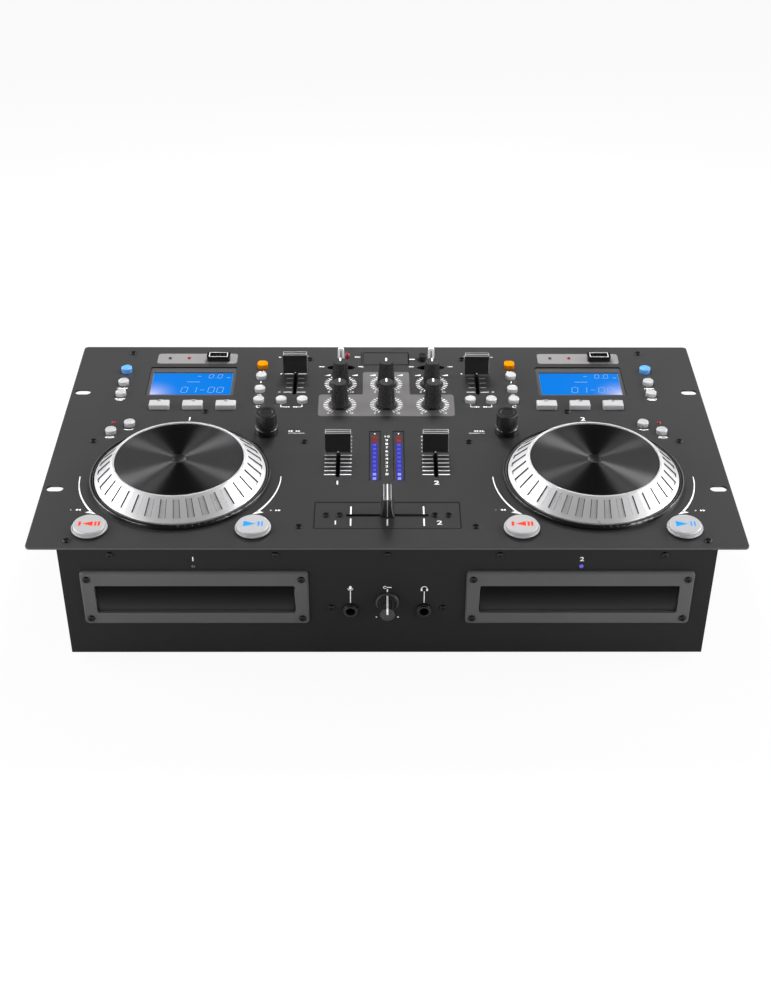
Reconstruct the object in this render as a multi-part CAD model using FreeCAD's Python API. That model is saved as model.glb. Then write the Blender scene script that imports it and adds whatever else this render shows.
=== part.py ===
"""Dual disc player and mixer console for a DJ: a 19 inch rack panel on a folded steel case.

Frame: millimetres, +X to the user's right, +Y to the back, +Z up. The origin is the centre of
the whole object's footprint, on the surface that the rubber feet stand on.

The pieces are drawn with z = 0 on the top face of the control panel and y = 0 at the panel's
centre. export() moves every piece from there to the frame above.
"""
import FreeCAD, Part
import math
import os
from FreeCAD import Placement, Rotation, Vector

# ------------------------------------------------------------------ top panel and case
PANEL_WIDTH = 482.6          # 19 inch rack panel
PANEL_DEPTH = 265.9          # six rack units
PANEL_THICKNESS = 1.5
PANEL_CORNER_R = 3.0
RACK_PITCH_X = 465.1
RACK_PITCH_Y = 128.4
RACK_SLOT_LENGTH = 12.0
RACK_SLOT_WIDTH = 7.0

CASE_WIDTH = 442.0
CASE_HEIGHT = 94.2           # panel's top face to the underside of the case
CASE_SETBACK = 3.0           # case front and back behind the panel's edges
SHEET = 1.2                  # folded case sheet
FRONT_THICKNESS = 1.5
FLANGE_WIDTH = 10.0
FRONT_FLANGE_DEPTH = 6.0
TAB_DEPTH = 14.0
TAB_MARGIN = 3.5
SHEET_GAP = 0.3
REAR_TAB_LENGTH = 28.0
VENT_COUNT = 12
VENT_PITCH = 7.0
VENT_WIDTH = 3.0
VENT_LENGTH = 26.0

FOOT_HEIGHT = 6.0
FOOT_R = 9.0
FOOT_X = 190.0
FOOT_Y = 100.0

# ------------------------------------------------------------------ screws
SCREW_HEAD_R = 2.6
SCREW_HEAD_HEIGHT = 1.1
SCREW_SHANK_R = 1.45
SCREW_LENGTH = 8.0
SCREW_HOLE_R = 1.7
CROSS_LENGTH = 2.8
CROSS_WIDTH = 0.65
CROSS_DEPTH = 0.7
SIDE_SCREW_SETBACK = 8.0
SIDE_SCREW_DROPS = (12.1, 71.5)
FRONT_SCREW_X = (0.0, 75.3, 186.0)
FRONT_SCREW_DROP = 8.3
FLANGE_SCREWS = ((214.8, -124.9), (214.6, -4.0), (201.4, 122.9))
PILLAR_SCREWS = ((60.0, 113.3), (136.0, 36.1), (60.2, -5.3), (60.0, -109.2))
PILLAR_R = 2.3

# ------------------------------------------------------------------ inner boards
BOARD_DROP = 11.0            # panel's underside to the boards' top
BOARD_THICKNESS = 1.6
DECK_BOARD_X = (69.0, 209.0)
MIXER_BOARD_HALF = 67.0
BOARD_Y = (-118.0, 120.0)
SWITCH_SIZE = 6.0
SWITCH_HEIGHT = 4.3

# ------------------------------------------------------------------ push keys
KEY_TRAVEL = 0.6
KEY_GAP = 0.35               # cap to panel, all round
KEY_STOP_GAP = 0.3           # left between parts at the end of the travel
KEY_FLANGE = 0.6
KEY_FLANGE_THICKNESS = 1.2
KEY_STEM_R = 1.5
KEY_EDGE_R = 0.8
RUNNER_WIDTH = 3.0
ROUND_CAP_R = 4.1
ROUND_CAP_HEIGHT = 3.0
EJECT_CAP_R = 4.3
EJECT_CAP_HEIGHT = 3.5
SQUARE_CAP_SIZE = 8.2
SQUARE_CAP_HEIGHT = 3.2
SQUARE_CAP_CORNER_R = 2.8
CAP_DISH_DEPTH = 0.35        # hollow of the round caps' tops
CAP_DISH_SHARE = 0.78        # dish's share of the cap's radius
LOOP_CAP_WIDTH = 15.2
LOOP_CAP_DEPTH = 8.3
LOOP_CAP_HEIGHT = 3.5
LOOP_CAP_CORNER_R = 0.8
BIG_CAP_R = 12.2
BIG_CAP_HEIGHT = 4.6
BIG_CAP_STEP_R = 1.1
BIG_CAP_STEP_HEIGHT = 2.3
BIG_CAP_LIFT = 1.2
BIG_CAP_EDGE_R = 1.1
BIG_STEM_R = 7.0
BUTTON_R = 3.7
BUTTON_HEIGHT = 4.0

# places of one deck's controls: x is the distance from the console's centre line
KEY_OUTER_X = 202.9
KEY_INNER_X = 97.0
EJECT_Y = 95.4
PROGRAM_Y = (76.8, 60.4)
PITCH_BUTTON_Y = 102.6
TRACK_Y = (86.0, 66.7, 50.9)
BEND_X = (63.9, 79.9)
BEND_Y = 51.0
BEND_GAP = 0.5               # wider, since the rocker tilts in its holes
BEND_FLANGE_DROP = 0.6
LOOP_CENTRE_X = 146.5
LOOP_PITCH = 25.1
LOOP_Y = 43.5
MODE_KEYS = ((203.3, 7.9), (190.8, 18.2))
BIG_OUTER_X = 201.1
BIG_INNER_X = 90.8
BIG_Y = -111.9
DECK_LED = (203.1, 20.7)
BUTTON_PLACE = (28.9, 114.0)

# ------------------------------------------------------------------ jog wheel
JOG_X = 146.0
JOG_Y = -49.6
JOG_SKIRT_R = 60.2
JOG_LIP_HEIGHT = 1.4
JOG_TOP_R = 47.9
JOG_RIM_WIDTH = 2.8
JOG_DISC_R = JOG_TOP_R - JOG_RIM_WIDTH
JOG_HEIGHT = 16.1
JOG_SHOULDER_DROP = 1.1
JOG_WALL = 2.4
JOG_LIFT = 0.8               # skirt above the base ring's floor
JOG_DISC_THICKNESS = 1.6
JOG_DISC_SINK = 0.7          # disc's face below the rim
JOG_DIMPLE_R = 4.6
JOG_DIMPLE_DEPTH = 0.9
JOG_SEAT_GAP = 0.3
PAD_COUNT = 36
PAD_HEIGHT = 0.8             # pads above the pockets between them
PAD_BEVEL = 0.5              # bevel along the pads' long edges
POCKET_SHARE = 0.40          # share of the pitch that is pocket floor
POCKET_PHASE = 3.4           # degrees from +X to the first pocket
POCKET_OUTER_MARGIN = 3.4
POCKET_INNER_MARGIN = 0.7
JOG_HUB_R = 8.5
JOG_SHAFT_R = 3.0
JOG_SHAFT_DROP = 9.5
CODE_WHEEL_R = 14.0
CODE_WHEEL_THICKNESS = 0.8
CODE_WHEEL_DROP = 7.0
CODE_SLOTS = 24
CODE_SLOT_LENGTH = 3.5
CODE_SLOT_WIDTH = 1.0
BASE_RING_HEIGHT = 3.3
BASE_RING_FLOOR = 0.9
BASE_RING_GAP = 0.7
BASE_RIM_WIDTH = 3.1
BASE_RIM_EDGE_R = 1.4
BASE_RING_R = JOG_SKIRT_R + BASE_RING_GAP + BASE_RIM_WIDTH
BASE_BOSS_R = 8.0
BASE_BOSS_DROP = 3.0
BASE_BOSS_RISE = 2.0
RUNNING_FIT = 0.05
HOLE_GAP = 0.3

# ------------------------------------------------------------------ knobs, levers and faders
KNOB_FOOT_R = 8.05
KNOB_FOOT_HEIGHT = 1.1
KNOB_BODY_R = 6.9
KNOB_TOP_R = 5.25
KNOB_HEIGHT = 20.0
KNOB_LIFT = 0.4
KNOB_EDGE_R = 0.5
KNOB_FLUTES = 20
KNOB_FLUTE_R = 0.42
SHAFT_R = 3.0
SHAFT_DROP = 8.0
BUSH_WALL = 0.45
BUSH_RISE = 0.0             # top of the bush above the panel
POT_SIZE = 10.0
POT_HEIGHT = 6.0
KNOB_X = (-35.2, 0.0, 35.2)
KNOB_UPPER_Y = 76.2
KNOB_LOWER_Y = 45.9
KNOB_TURN = 150.0
ENCODER_R = 7.7
ENCODER_FOOT_R = 8.6
ENCODER_FOOT_HEIGHT = 5.6
ENCODER_FOOT_ROUND = 1.5
ENCODER_WAIST_R = 7.2
ENCODER_HEIGHT = 17.0
ENCODER_DISH_R = 5.4
ENCODER_DISH_DEPTH = 0.6
ENCODER_RIBS = 24
ENCODER_PLACE = (88.4, 8.2)

LEVER_X = 35.2
LEVER_Y = 101.0
LEVER_HEIGHT = 18.0
LEVER_PIVOT_DROP = 12.0
LEVER_TIP_WIDTH = 5.0
LEVER_ROOT_WIDTH = 3.6
LEVER_THICKNESS = 2.6
LEVER_EDGE_R = 1.0
LEVER_BEND_R = 3.0
LEVER_PIN_R = 1.0
LEVER_PIN_REACH = 0.2        # pin past the ball on both sides
LEVER_BALL_R = 2.6
LEVER_HOLE_LENGTH = 22.0
LEVER_HOLE_WIDTH = 8.0
LEVER_SWITCH_WIDTH = 13.0
LEVER_SWITCH_DEPTH = 7.0
LEVER_SWITCH_HEIGHT = 7.0

CAP_LENGTH = 18.6
CAP_BASE_HALF = 4.6
CAP_TOP_HALF = 2.8
CAP_WAIST_HALF = 3.0
CAP_WAIST_SHARE = 0.45       # waist's place in the cap's height
CAP_FOOT = 1.0               # straight edge below the flanks
CAP_HEIGHT = 15.0
CAP_LIFT = 4.6               # the caps pass over the screw heads
CAP_RIB_WIDTH = 0.9
CAP_RIB_GROOVE = 0.5
CAP_GROOVE_HALF = 0.75
LEVER_BLADE_WIDTH = 4.0
LEVER_BLADE_THICKNESS = 1.2
LEVER_BLADE_DROP = 5.0
SLOT_WIDTH = 2.8
SLOT_END_GAP = 1.4
SLIDE_POT_WIDTH = 10.0
SLIDE_POT_HEIGHT = 7.0
SLIDE_POT_END = 2.5
SLIDE_POT_GAP = 0.5
CHANNEL_X = 35.0
CHANNEL_REST_Y = -21.2
CHANNEL_UP = 23.3
CHANNEL_DOWN = 25.8
PITCH_X = 70.4
PITCH_CENTRE_Y = 91.2
PITCH_HALF_TRAVEL = 27.1
PITCH_REST = {"a": -1.9, "b": -3.6}       # each cap's place from the middle of its slot
CROSS_Y = -96.1
CROSS_HALF_TRAVEL = 25.0
CROSS_PLATE_WIDTH = 99.4
CROSS_PLATE_DEPTH = 30.3
CROSS_PLATE_GAP = 0.35
CROSS_LIP = 5.0
CROSS_LIP_THICKNESS = 1.2
CROSS_SCREW_X = (32.7, 42.0)

# ------------------------------------------------------------------ displays, lamps and sockets
DISPLAY_X = 150.7
DISPLAY_Y = 80.6
DISPLAY_WIDTH = 67.4
DISPLAY_DEPTH = 42.6
DISPLAY_CORNER_R = 1.5
DISPLAY_GAP = 0.25
DISPLAY_SINK = 1.0
GLASS_WIDTH = 62.2
GLASS_DEPTH = 33.0
GLASS_OFFSET_Y = -1.9
GLASS_SINK = 0.8
DISPLAY_THICKNESS = 7.0
STRIP_SPAN = 301.4           # the right deck's lamps and port repeat the left one's at this distance
STRIP_LAMPS_X = (-171.1, -156.0)
STRIP_LAMP_Y = 115.1
PORT_X = -132.5
PORT_Y = 114.0
PORT_COLLAR_WIDTH = 18.4
PORT_COLLAR_DEPTH = 8.2
PORT_COLLAR_HEIGHT = 4.0
PORT_CORNER_R = 1.5
PORT_WIDTH = 13.2
PORT_DEPTH = 5.4
PORT_SINK = 8.0
PORT_TONGUE = 1.8
PORT_TONGUE_INSET = 0.8
LAMP_R = 1.5
LAMP_RISE = 0.8
LAMP_BODY = 5.0
DOME_R = 2.1
DOME_RISE = 3.4
DOME_PLACE = (-30.6, 117.3)
METER_X = 8.6
METER_WIDTH = 8.6
METER_FRONT = -54.6
METER_BACK = 9.6
METER_SINK = 0.4
METER_THICKNESS = 5.0
METER_GAP = 0.15
METER_CORNER_R = 0.8
COVER_X = 37.0               # outline of the flush cover at the back of the mixer
COVER_Y = (105.5, 124.0)
COVER_LINE = 0.6
COVER_LINE_DEPTH = 0.4
COVER_CORNER_R = 2.0

# ------------------------------------------------------------------ disc drives
DRIVE_X = 130.8
DRIVE_DROP = 44.6            # panel's top face to the middle of the tray opening
BEZEL_BORDER_X = 9.15        # mouth to the bezel's sides
BEZEL_BORDER_Z = 10.7        # mouth to the bezel's top and bottom
BEZEL_OFFSET_Z = 0.8
BEZEL_THICKNESS = 2.6
BEZEL_CORNER_R = 3.0
BEZEL_EDGE = 1.1
BEZEL_SCREW_INSET_X = 4.55
BEZEL_SCREW_INSET_Z = 5.6
BEZEL_SCREW_OFFSET_Z = 0.4
TRAY_MOUTH_GAP = 3.5         # tray to the mouth, each side
MOUTH_HEIGHT = 23.6
MOUTH_CORNER_R = 1.6
MOUTH_MARGIN = 1.0           # front panel's opening past the bezel's mouth
DOOR_GAP = 0.7
DOOR_SINK = 1.4              # door's face behind the bezel's
DOOR_THICKNESS = 3.0
DOOR_BULGE = 0.8
TRAY_BORDER = 3.7            # disc recess to the tray's sides
TRAY_TAIL = 26.2             # disc recess to the tray's back end
TRAY_THICKNESS = 8.0
TRAY_RISE = 2.0              # tray's top above the middle of the mouth
TRAY_WALL = 1.8
TRAY_TRAVEL = 130.0
DISC_R = 60.0
DISC_GAP = 0.8
DISC_RECESS_DEPTH = 2.0
SMALL_DISC_R = 40.8
SMALL_RECESS_DEPTH = 0.8
DISC_FRONT_SPACE = 7.2       # door's back to the disc recess
PICKUP_SLOT_WIDTH = 36.0
PICKUP_SLOT_LENGTH = 62.0
FINGER_NOTCH_R = 11.0
RACK_TOOTH_PITCH = 3.0
RACK_TOOTH_DEPTH = 1.4
RACK_WIDTH = 5.0
RACK_TEETH = 46
DRIVE_SCREW_GAP = 0.65       # bezel screws to the drive's sides
DRIVE_HEIGHT = 41.3
DRIVE_TAIL = 35.0            # drive's length past the tray's
DRIVE_WALL = 1.2
TRAY_SIDE_GAP = 0.6
TRAY_UNDER_GAP = 1.2
TRAY_OVER_GAP = 1.2
RAIL_OVERLAP = 3.0
RAIL_THICKNESS = 2.0
SPINDLE_R = 11.0
SPINDLE_NOSE_R = 7.3
SPINDLE_NOSE = 1.4
SPINDLE_GAP = 0.5
DRIVE_BRACKET = 14.0
BRACKET_SHEET = 1.5

# ------------------------------------------------------------------ sockets on the front
JACK_X = 25.2
JACK_DROP = 55.5
JACK_BORE_R = 3.25
JACK_COLLAR_R = 4.5
JACK_NUT_R = 5.3
JACK_NUT_THICKNESS = 1.8
JACK_COLLAR_LENGTH = 2.6
JACK_BODY_LENGTH = 24.0
JACK_BODY_SIZE = 14.0
JACK_BORE_LENGTH = 20.0
JACK_SCREW_X = 38.2
JACK_SCREW_DROP = 54.0
CUE_KNOB_DROP = 48.4
FRONT_KNOB_HEIGHT = 14.0
FRONT_BOARD_HALF = 42.0
FRONT_BOARD_BELOW = 12.0
FRONT_BOARD_ABOVE = 10.0
FRONT_LAMP_X = 130.6
FRONT_LAMP_DROP = 17.6

# ------------------------------------------------------------------ sockets on the back
PHONO_COLUMNS = (-150.0, -122.0, -94.0, -66.0)
PHONO_DROPS = (34.0, 52.0)
PHONO_SLEEVE_R = 4.15
PHONO_SLEEVE_LENGTH = 9.0
PHONO_BORE_R = 1.65
PHONO_PLATE = 14.0
PHONO_PLATE_THICKNESS = 1.5
PHONO_BODY_LENGTH = 10.0
INLET_X = 178.0
INLET_DROP = 56.0
INLET_WIDTH = 28.0
INLET_HEIGHT = 20.0
INLET_DEPTH = 24.0
INLET_FLANGE = 6.0
INLET_FLANGE_THICKNESS = 3.0
INLET_CAVITY_DEPTH = 17.0
INLET_WALL = 1.8
PIN_WIDTH = 2.0
PIN_HEIGHT = 4.0
PIN_PITCH = 7.0
PIN_OFFSET = 3.0
PIN_SINK = 2.0
SWITCH_X = 136.0
ROCKER_WIDTH = 10.0
ROCKER_HEIGHT = 18.0
ROCKER_GAP = 0.6
ROCKER_WALL = 1.6
ROCKER_DEPTH = 9.0
ROCKER_OUT = 2.4
ROCKER_ANGLE = 8.0
ROCKER_PIVOT_DEPTH = 2.6
ROCKER_FACE_R = 45.0
ROCKER_HOLLOW = 0.8
POWER_BOARD = (92.0, 196.0, 78.0, 120.0)
POWER_BOARD_LIFT = 8.0
TRANSFORMER = (34.0, 28.0, 24.0)
CAPACITOR_R = 8.0
CAPACITOR_HEIGHT = 20.0

# ------------------------------------------------------------------ what follows from them
PANEL_UNDER = -PANEL_THICKNESS
CASE_FRONT = -PANEL_DEPTH / 2 + CASE_SETBACK
CASE_BACK = PANEL_DEPTH / 2 - CASE_SETBACK
CASE_HALF = CASE_WIDTH / 2
CASE_BOTTOM = -CASE_HEIGHT
BOARD_TOP = PANEL_UNDER - BOARD_DROP
BOARD_UNDER = BOARD_TOP - BOARD_THICKNESS
SWITCH_TOP = BOARD_TOP + SWITCH_HEIGHT
STEM_BOTTOM = SWITCH_TOP + KEY_TRAVEL + KEY_STOP_GAP
KEY_FLANGE_TOP = PANEL_UNDER - KEY_STOP_GAP
KEY_FLANGE_BOTTOM = KEY_FLANGE_TOP - KEY_FLANGE_THICKNESS
FRONT_BACK_FACE = CASE_FRONT + FRONT_THICKNESS
REAR_INNER_FACE = CASE_BACK - SHEET
BUSH_R = SHAFT_R + RUNNING_FIT + BUSH_WALL
DRIVE_Z = -DRIVE_DROP
BEZEL_FACE = CASE_FRONT - BEZEL_THICKNESS
RECESS_R = DISC_R + DISC_GAP
TRAY_WIDTH = 2 * (RECESS_R + TRAY_BORDER)
DISC_SETBACK = RECESS_R + DISC_FRONT_SPACE
TRAY_LENGTH = DISC_SETBACK + RECESS_R + TRAY_TAIL
MOUTH_WIDTH = TRAY_WIDTH + 2 * TRAY_MOUTH_GAP
BEZEL_WIDTH = MOUTH_WIDTH + 2 * BEZEL_BORDER_X
BEZEL_HEIGHT = MOUTH_HEIGHT + 2 * BEZEL_BORDER_Z
BEZEL_SCREW_PITCH_X = BEZEL_WIDTH - 2 * BEZEL_SCREW_INSET_X
BEZEL_SCREW_PITCH_Z = BEZEL_HEIGHT - 2 * BEZEL_SCREW_INSET_Z
DRIVE_WIDTH = BEZEL_SCREW_PITCH_X - 2 * (SCREW_SHANK_R + DRIVE_SCREW_GAP)
DRIVE_LENGTH = TRAY_LENGTH + DRIVE_TAIL
DOOR_FACE = BEZEL_FACE + DOOR_SINK
DOOR_BACK = DOOR_FACE + DOOR_THICKNESS
TRAY_TOP = DRIVE_Z + TRAY_RISE
TRAY_BOTTOM = TRAY_TOP - TRAY_THICKNESS
DISC_Y = DOOR_BACK + DISC_SETBACK
JOG_FLOOR = BASE_RING_FLOOR + JOG_LIFT
PHONO_REACH = CASE_BACK + PHONO_SLEEVE_LENGTH
KNOB_REACH = CASE_FRONT - KNOB_LIFT - FRONT_KNOB_HEIGHT
SHIFT_Y = -(PHONO_REACH + KNOB_REACH) / 2
PANEL_TOP_Z = FOOT_HEIGHT + CASE_HEIGHT
SIDES = {"a": -1, "b": 1}


# ------------------------------------------------------------------ shape helpers
def block(x0, x1, y0, y1, z0, z1):
    return Part.makeBox(x1 - x0, y1 - y0, z1 - z0, Vector(x0, y0, z0))


def centred_block(x, y, width, depth, z0, z1):
    return block(x - width / 2, x + width / 2, y - depth / 2, y + depth / 2, z0, z1)


def post(radius, x, y, z0, z1):
    return Part.makeCylinder(radius, z1 - z0, Vector(x, y, z0))


def rod_y(radius, x, z, y0, y1):
    return Part.makeCylinder(radius, y1 - y0, Vector(x, y0, z), Vector(0, 1, 0))


def fuse(shapes):
    body = shapes[0]
    if len(shapes) > 1:
        body = body.multiFuse(shapes[1:])
    return body.removeSplitter()


def moved(shape, x=0.0, y=0.0, z=0.0):
    copy = shape.copy()
    copy.translate(Vector(x, y, z))
    return copy


def turned(shape, degrees, axis=Vector(0, 0, 1), centre=Vector(0, 0, 0)):
    copy = shape.copy()
    copy.rotate(centre, axis, degrees)
    return copy


def facing_front(shape):
    """Turn a piece drawn along +Z so that it points to the front, with its +Y side upwards."""
    return turned(shape, 90, Vector(1, 0, 0))


def facing_back(shape):
    return turned(shape, -90, Vector(1, 0, 0))


def rounded_outline(points):
    """Closed wire through (u, v) or (u, v, radius) corners in the XY plane."""
    count = len(points)
    edges = []
    last = None
    first = None
    for index, point in enumerate(points):
        here = Vector(point[0], point[1], 0)
        radius = point[2] if len(point) > 2 else 0.0
        if radius <= 0.0:
            start = end = here
        else:
            before = Vector(points[index - 1][0], points[index - 1][1], 0)
            after = Vector(points[(index + 1) % count][0], points[(index + 1) % count][1], 0)
            towards = (before - here).normalize()
            onwards = (after - here).normalize()
            half = towards.getAngle(onwards) / 2
            reach = radius / math.tan(half)
            start = here + towards * reach
            end = here + onwards * reach
            centre = here + (towards + onwards).normalize() * (radius / math.sin(half))
            middle = centre + (here - centre).normalize() * radius
        if last is not None and (start - last).Length > 1e-6:
            edges.append(Part.LineSegment(last, start).toShape())
        if radius > 0.0:
            edges.append(Part.Arc(start, middle, end).toShape())
        if first is None:
            first = start
        last = end
    if (last - first).Length > 1e-6:
        edges.append(Part.LineSegment(last, first).toShape())
    return Part.Wire(edges)


def prism(points, z0, z1):
    face = Part.Face(rounded_outline(points))
    face.translate(Vector(0, 0, z0))
    return face.extrude(Vector(0, 0, z1 - z0))


def rounded_block(x, y, width, depth, z0, z1, corner_r):
    corner = min(corner_r, 0.49 * width, 0.49 * depth)
    half_w = width / 2
    half_d = depth / 2
    outline = [(x - half_w, y - half_d, corner), (x + half_w, y - half_d, corner),
               (x + half_w, y + half_d, corner), (x - half_w, y + half_d, corner)]
    return prism(outline, z0, z1)


def lathe(profile, x=0.0, y=0.0):
    """Solid of revolution about Z from (radius, height) or (radius, height, corner) points."""
    wire = turned(rounded_outline(profile), 90, Vector(1, 0, 0))
    solid = Part.Face(wire).revolve(Vector(0, 0, 0), Vector(0, 0, 1), 360)
    return moved(solid, x, y)


def obround(x, y, length, width, z0, z1, along="x"):
    """Slot-shaped prism whose length lies along x or y."""
    half = (length - width) / 2
    radius = width / 2
    dx, dy = (half, 0) if along == "x" else (0, half)
    span = (length - width, width) if along == "x" else (width, length - width)
    ends = [post(radius, x - dx, y - dy, z0, z1), post(radius, x + dx, y + dy, z0, z1)]
    return fuse([centred_block(x, y, span[0], span[1], z0, z1)] + ends)


def oval(x, y, length, width, z0, z1):
    """Elliptic prism whose length lies along x."""
    rim = Part.Ellipse(Vector(x, y, z0), length / 2, width / 2).toShape()
    return Part.Face(Part.Wire([rim])).extrude(Vector(0, 0, z1 - z0))


def through(maker, *args, **kwargs):
    """A cutting tool made by maker, reaching past both faces of the panel."""
    return maker(*args, PANEL_UNDER - 1, 1, **kwargs)


# ------------------------------------------------------------------ screws
def pan_screw():
    """Cross-head screw with its head on z = 0 and its shank below."""
    head = lathe([(0, 0), (SCREW_HEAD_R, 0), (SCREW_HEAD_R, SCREW_HEAD_HEIGHT, SCREW_HEAD_HEIGHT * 0.7),
                  (0, SCREW_HEAD_HEIGHT)])
    shank = post(SCREW_SHANK_R, 0, 0, -SCREW_LENGTH, 0)
    low = SCREW_HEAD_HEIGHT - CROSS_DEPTH
    high = SCREW_HEAD_HEIGHT + 1
    cross = [centred_block(0, 0, CROSS_LENGTH, CROSS_WIDTH, low, high),
             centred_block(0, 0, CROSS_WIDTH, CROSS_LENGTH, low, high)]
    return head.fuse(shank).cut(Part.makeCompound(cross))


def panel_screw_places():
    return [(side * x, y) for x, y in FLANGE_SCREWS + PILLAR_SCREWS for side in (-1, 1)]


def front_screw_places():
    """(x, z, y of the face under the head) of the screws on the front."""
    places = [(side * x, -FRONT_SCREW_DROP, CASE_FRONT) for x in FRONT_SCREW_X
              for side in ((-1, 1) if x else (1,))]
    places += [(side * JACK_SCREW_X, -JACK_SCREW_DROP, CASE_FRONT) for side in (-1, 1)]
    places += [(x, z, BEZEL_FACE) for x, z in bezel_screw_places()]
    return places


def bezel_screw_places():
    return [(side * DRIVE_X + dx * BEZEL_SCREW_PITCH_X / 2, DRIVE_Z + BEZEL_SCREW_OFFSET_Z + dz * BEZEL_SCREW_PITCH_Z / 2)
            for side in (-1, 1) for dx in (-1, 1) for dz in (-1, 1)]


def side_screw_places():
    """(y, z) of the screws in each side wall."""
    rows = (CASE_FRONT + SIDE_SCREW_SETBACK, CASE_BACK - SIDE_SCREW_SETBACK)
    return [(y, -drop) for y in rows for drop in SIDE_SCREW_DROPS]


def case_screws():
    screw = pan_screw()
    placed = [moved(screw, x, y) for x, y in panel_screw_places()]
    placed += [moved(screw, side * x, CROSS_Y) for x in CROSS_SCREW_X for side in (-1, 1)]
    forward = facing_front(screw)
    placed += [moved(forward, x, face, z) for x, z, face in front_screw_places()]
    for side in (-1, 1):
        outward = turned(screw, 90 * side, Vector(0, 1, 0))
        placed += [moved(outward, side * CASE_HALF, y, z) for y, z in side_screw_places()]
    return Part.makeCompound(placed)


# ------------------------------------------------------------------ top panel
def pitch_slot(side):
    length = 2 * PITCH_HALF_TRAVEL + LEVER_BLADE_WIDTH + 2 * SLOT_END_GAP
    return (side * PITCH_X, PITCH_CENTRE_Y, length)


def channel_slot(side):
    travel = CHANNEL_UP + CHANNEL_DOWN
    centre = CHANNEL_REST_Y + (CHANNEL_UP - CHANNEL_DOWN) / 2
    return (side * CHANNEL_X, centre, travel + LEVER_BLADE_WIDTH + 2 * SLOT_END_GAP)


def cross_slot():
    return (0.0, CROSS_Y, 2 * CROSS_HALF_TRAVEL + LEVER_BLADE_WIDTH + 2 * SLOT_END_GAP)


def round_key_places(side):
    places = [(side * KEY_OUTER_X, y) for y in PROGRAM_Y]
    places += [(side * KEY_INNER_X, y) for y in TRACK_Y]
    places += [(side * x, y) for x, y in MODE_KEYS]
    return places


def loop_key_places(side):
    return [(side * LOOP_CENTRE_X + step * LOOP_PITCH, LOOP_Y) for step in (-1, 0, 1)]


def knob_places():
    return [(x, y) for y in (KNOB_UPPER_Y, KNOB_LOWER_Y) for x in KNOB_X]


def strip_offset(side):
    return 0.0 if side < 0 else STRIP_SPAN


def deck_cutters(side):
    """Everything that one deck's controls need cut out of the top panel."""
    tools = [through(post, BASE_BOSS_R + HOLE_GAP, side * JOG_X, JOG_Y)]
    tools += [through(post, ROUND_CAP_R + KEY_GAP, x, y) for x, y in round_key_places(side)]
    tools += [through(post, ROUND_CAP_R + BEND_GAP, side * x, BEND_Y) for x in BEND_X]
    tools.append(through(post, EJECT_CAP_R + KEY_GAP, side * KEY_OUTER_X, EJECT_Y))
    size = SQUARE_CAP_SIZE + 2 * KEY_GAP
    tools.append(rounded_block(side * KEY_INNER_X, PITCH_BUTTON_Y, size, size,
                               PANEL_UNDER - 1, 1, SQUARE_CAP_CORNER_R + KEY_GAP))
    for x, y in loop_key_places(side):
        tools.append(rounded_block(x, y, LOOP_CAP_WIDTH + 2 * KEY_GAP, LOOP_CAP_DEPTH + 2 * KEY_GAP,
                                   PANEL_UNDER - 1, 1, LOOP_CAP_CORNER_R + KEY_GAP))
    tools += [through(post, BIG_STEM_R + KEY_GAP, side * x, BIG_Y) for x in (BIG_OUTER_X, BIG_INNER_X)]
    tools.append(through(post, BUSH_R + HOLE_GAP, side * ENCODER_PLACE[0], ENCODER_PLACE[1]))
    tools.append(rounded_block(side * DISPLAY_X, DISPLAY_Y, DISPLAY_WIDTH, DISPLAY_DEPTH,
                               PANEL_UNDER - 1, 1, DISPLAY_CORNER_R))
    x, y, length = pitch_slot(side)
    tools.append(through(obround, x, y, length, SLOT_WIDTH, along="y"))
    shift = strip_offset(side)
    tools += [through(post, LAMP_R, x + shift, STRIP_LAMP_Y) for x in STRIP_LAMPS_X]
    tools.append(through(post, LAMP_R, side * DECK_LED[0], DECK_LED[1]))
    tools.append(rounded_block(PORT_X + shift, PORT_Y, PORT_COLLAR_WIDTH, PORT_COLLAR_DEPTH,
                               PANEL_UNDER - 1, 1, PORT_CORNER_R))
    return tools


def mixer_cutters():
    tools = [through(post, BUSH_R + HOLE_GAP, x, y) for x, y in knob_places()]
    for side in (-1, 1):
        tools.append(through(oval, side * LEVER_X, LEVER_Y, LEVER_HOLE_LENGTH, LEVER_HOLE_WIDTH))
        x, y, length = channel_slot(side)
        tools.append(through(obround, x, y, length, SLOT_WIDTH, along="y"))
        tools.append(rounded_block(side * METER_X, (METER_FRONT + METER_BACK) / 2, METER_WIDTH,
                                   METER_BACK - METER_FRONT, PANEL_UNDER - 1, 1, METER_CORNER_R))
    tools.append(through(post, DOME_R, *DOME_PLACE))
    tools.append(through(post, BUTTON_R + KEY_GAP, *BUTTON_PLACE))
    tools.append(rounded_block(0, CROSS_Y, CROSS_PLATE_WIDTH + 2 * CROSS_PLATE_GAP,
                               CROSS_PLATE_DEPTH + 2 * CROSS_PLATE_GAP, PANEL_UNDER - 1, 1, 1.0))
    return tools


def cover_outline():
    """Shallow joint line round the flush cover."""
    middle = sum(COVER_Y) / 2
    depth = COVER_Y[1] - COVER_Y[0]
    outer = rounded_block(0, middle, COVER_X, depth, -COVER_LINE_DEPTH, 1, COVER_CORNER_R)
    inner = rounded_block(0, middle, COVER_X - 2 * COVER_LINE, depth - 2 * COVER_LINE,
                          -COVER_LINE_DEPTH, 1, COVER_CORNER_R - COVER_LINE)
    return outer.cut(inner)


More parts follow.
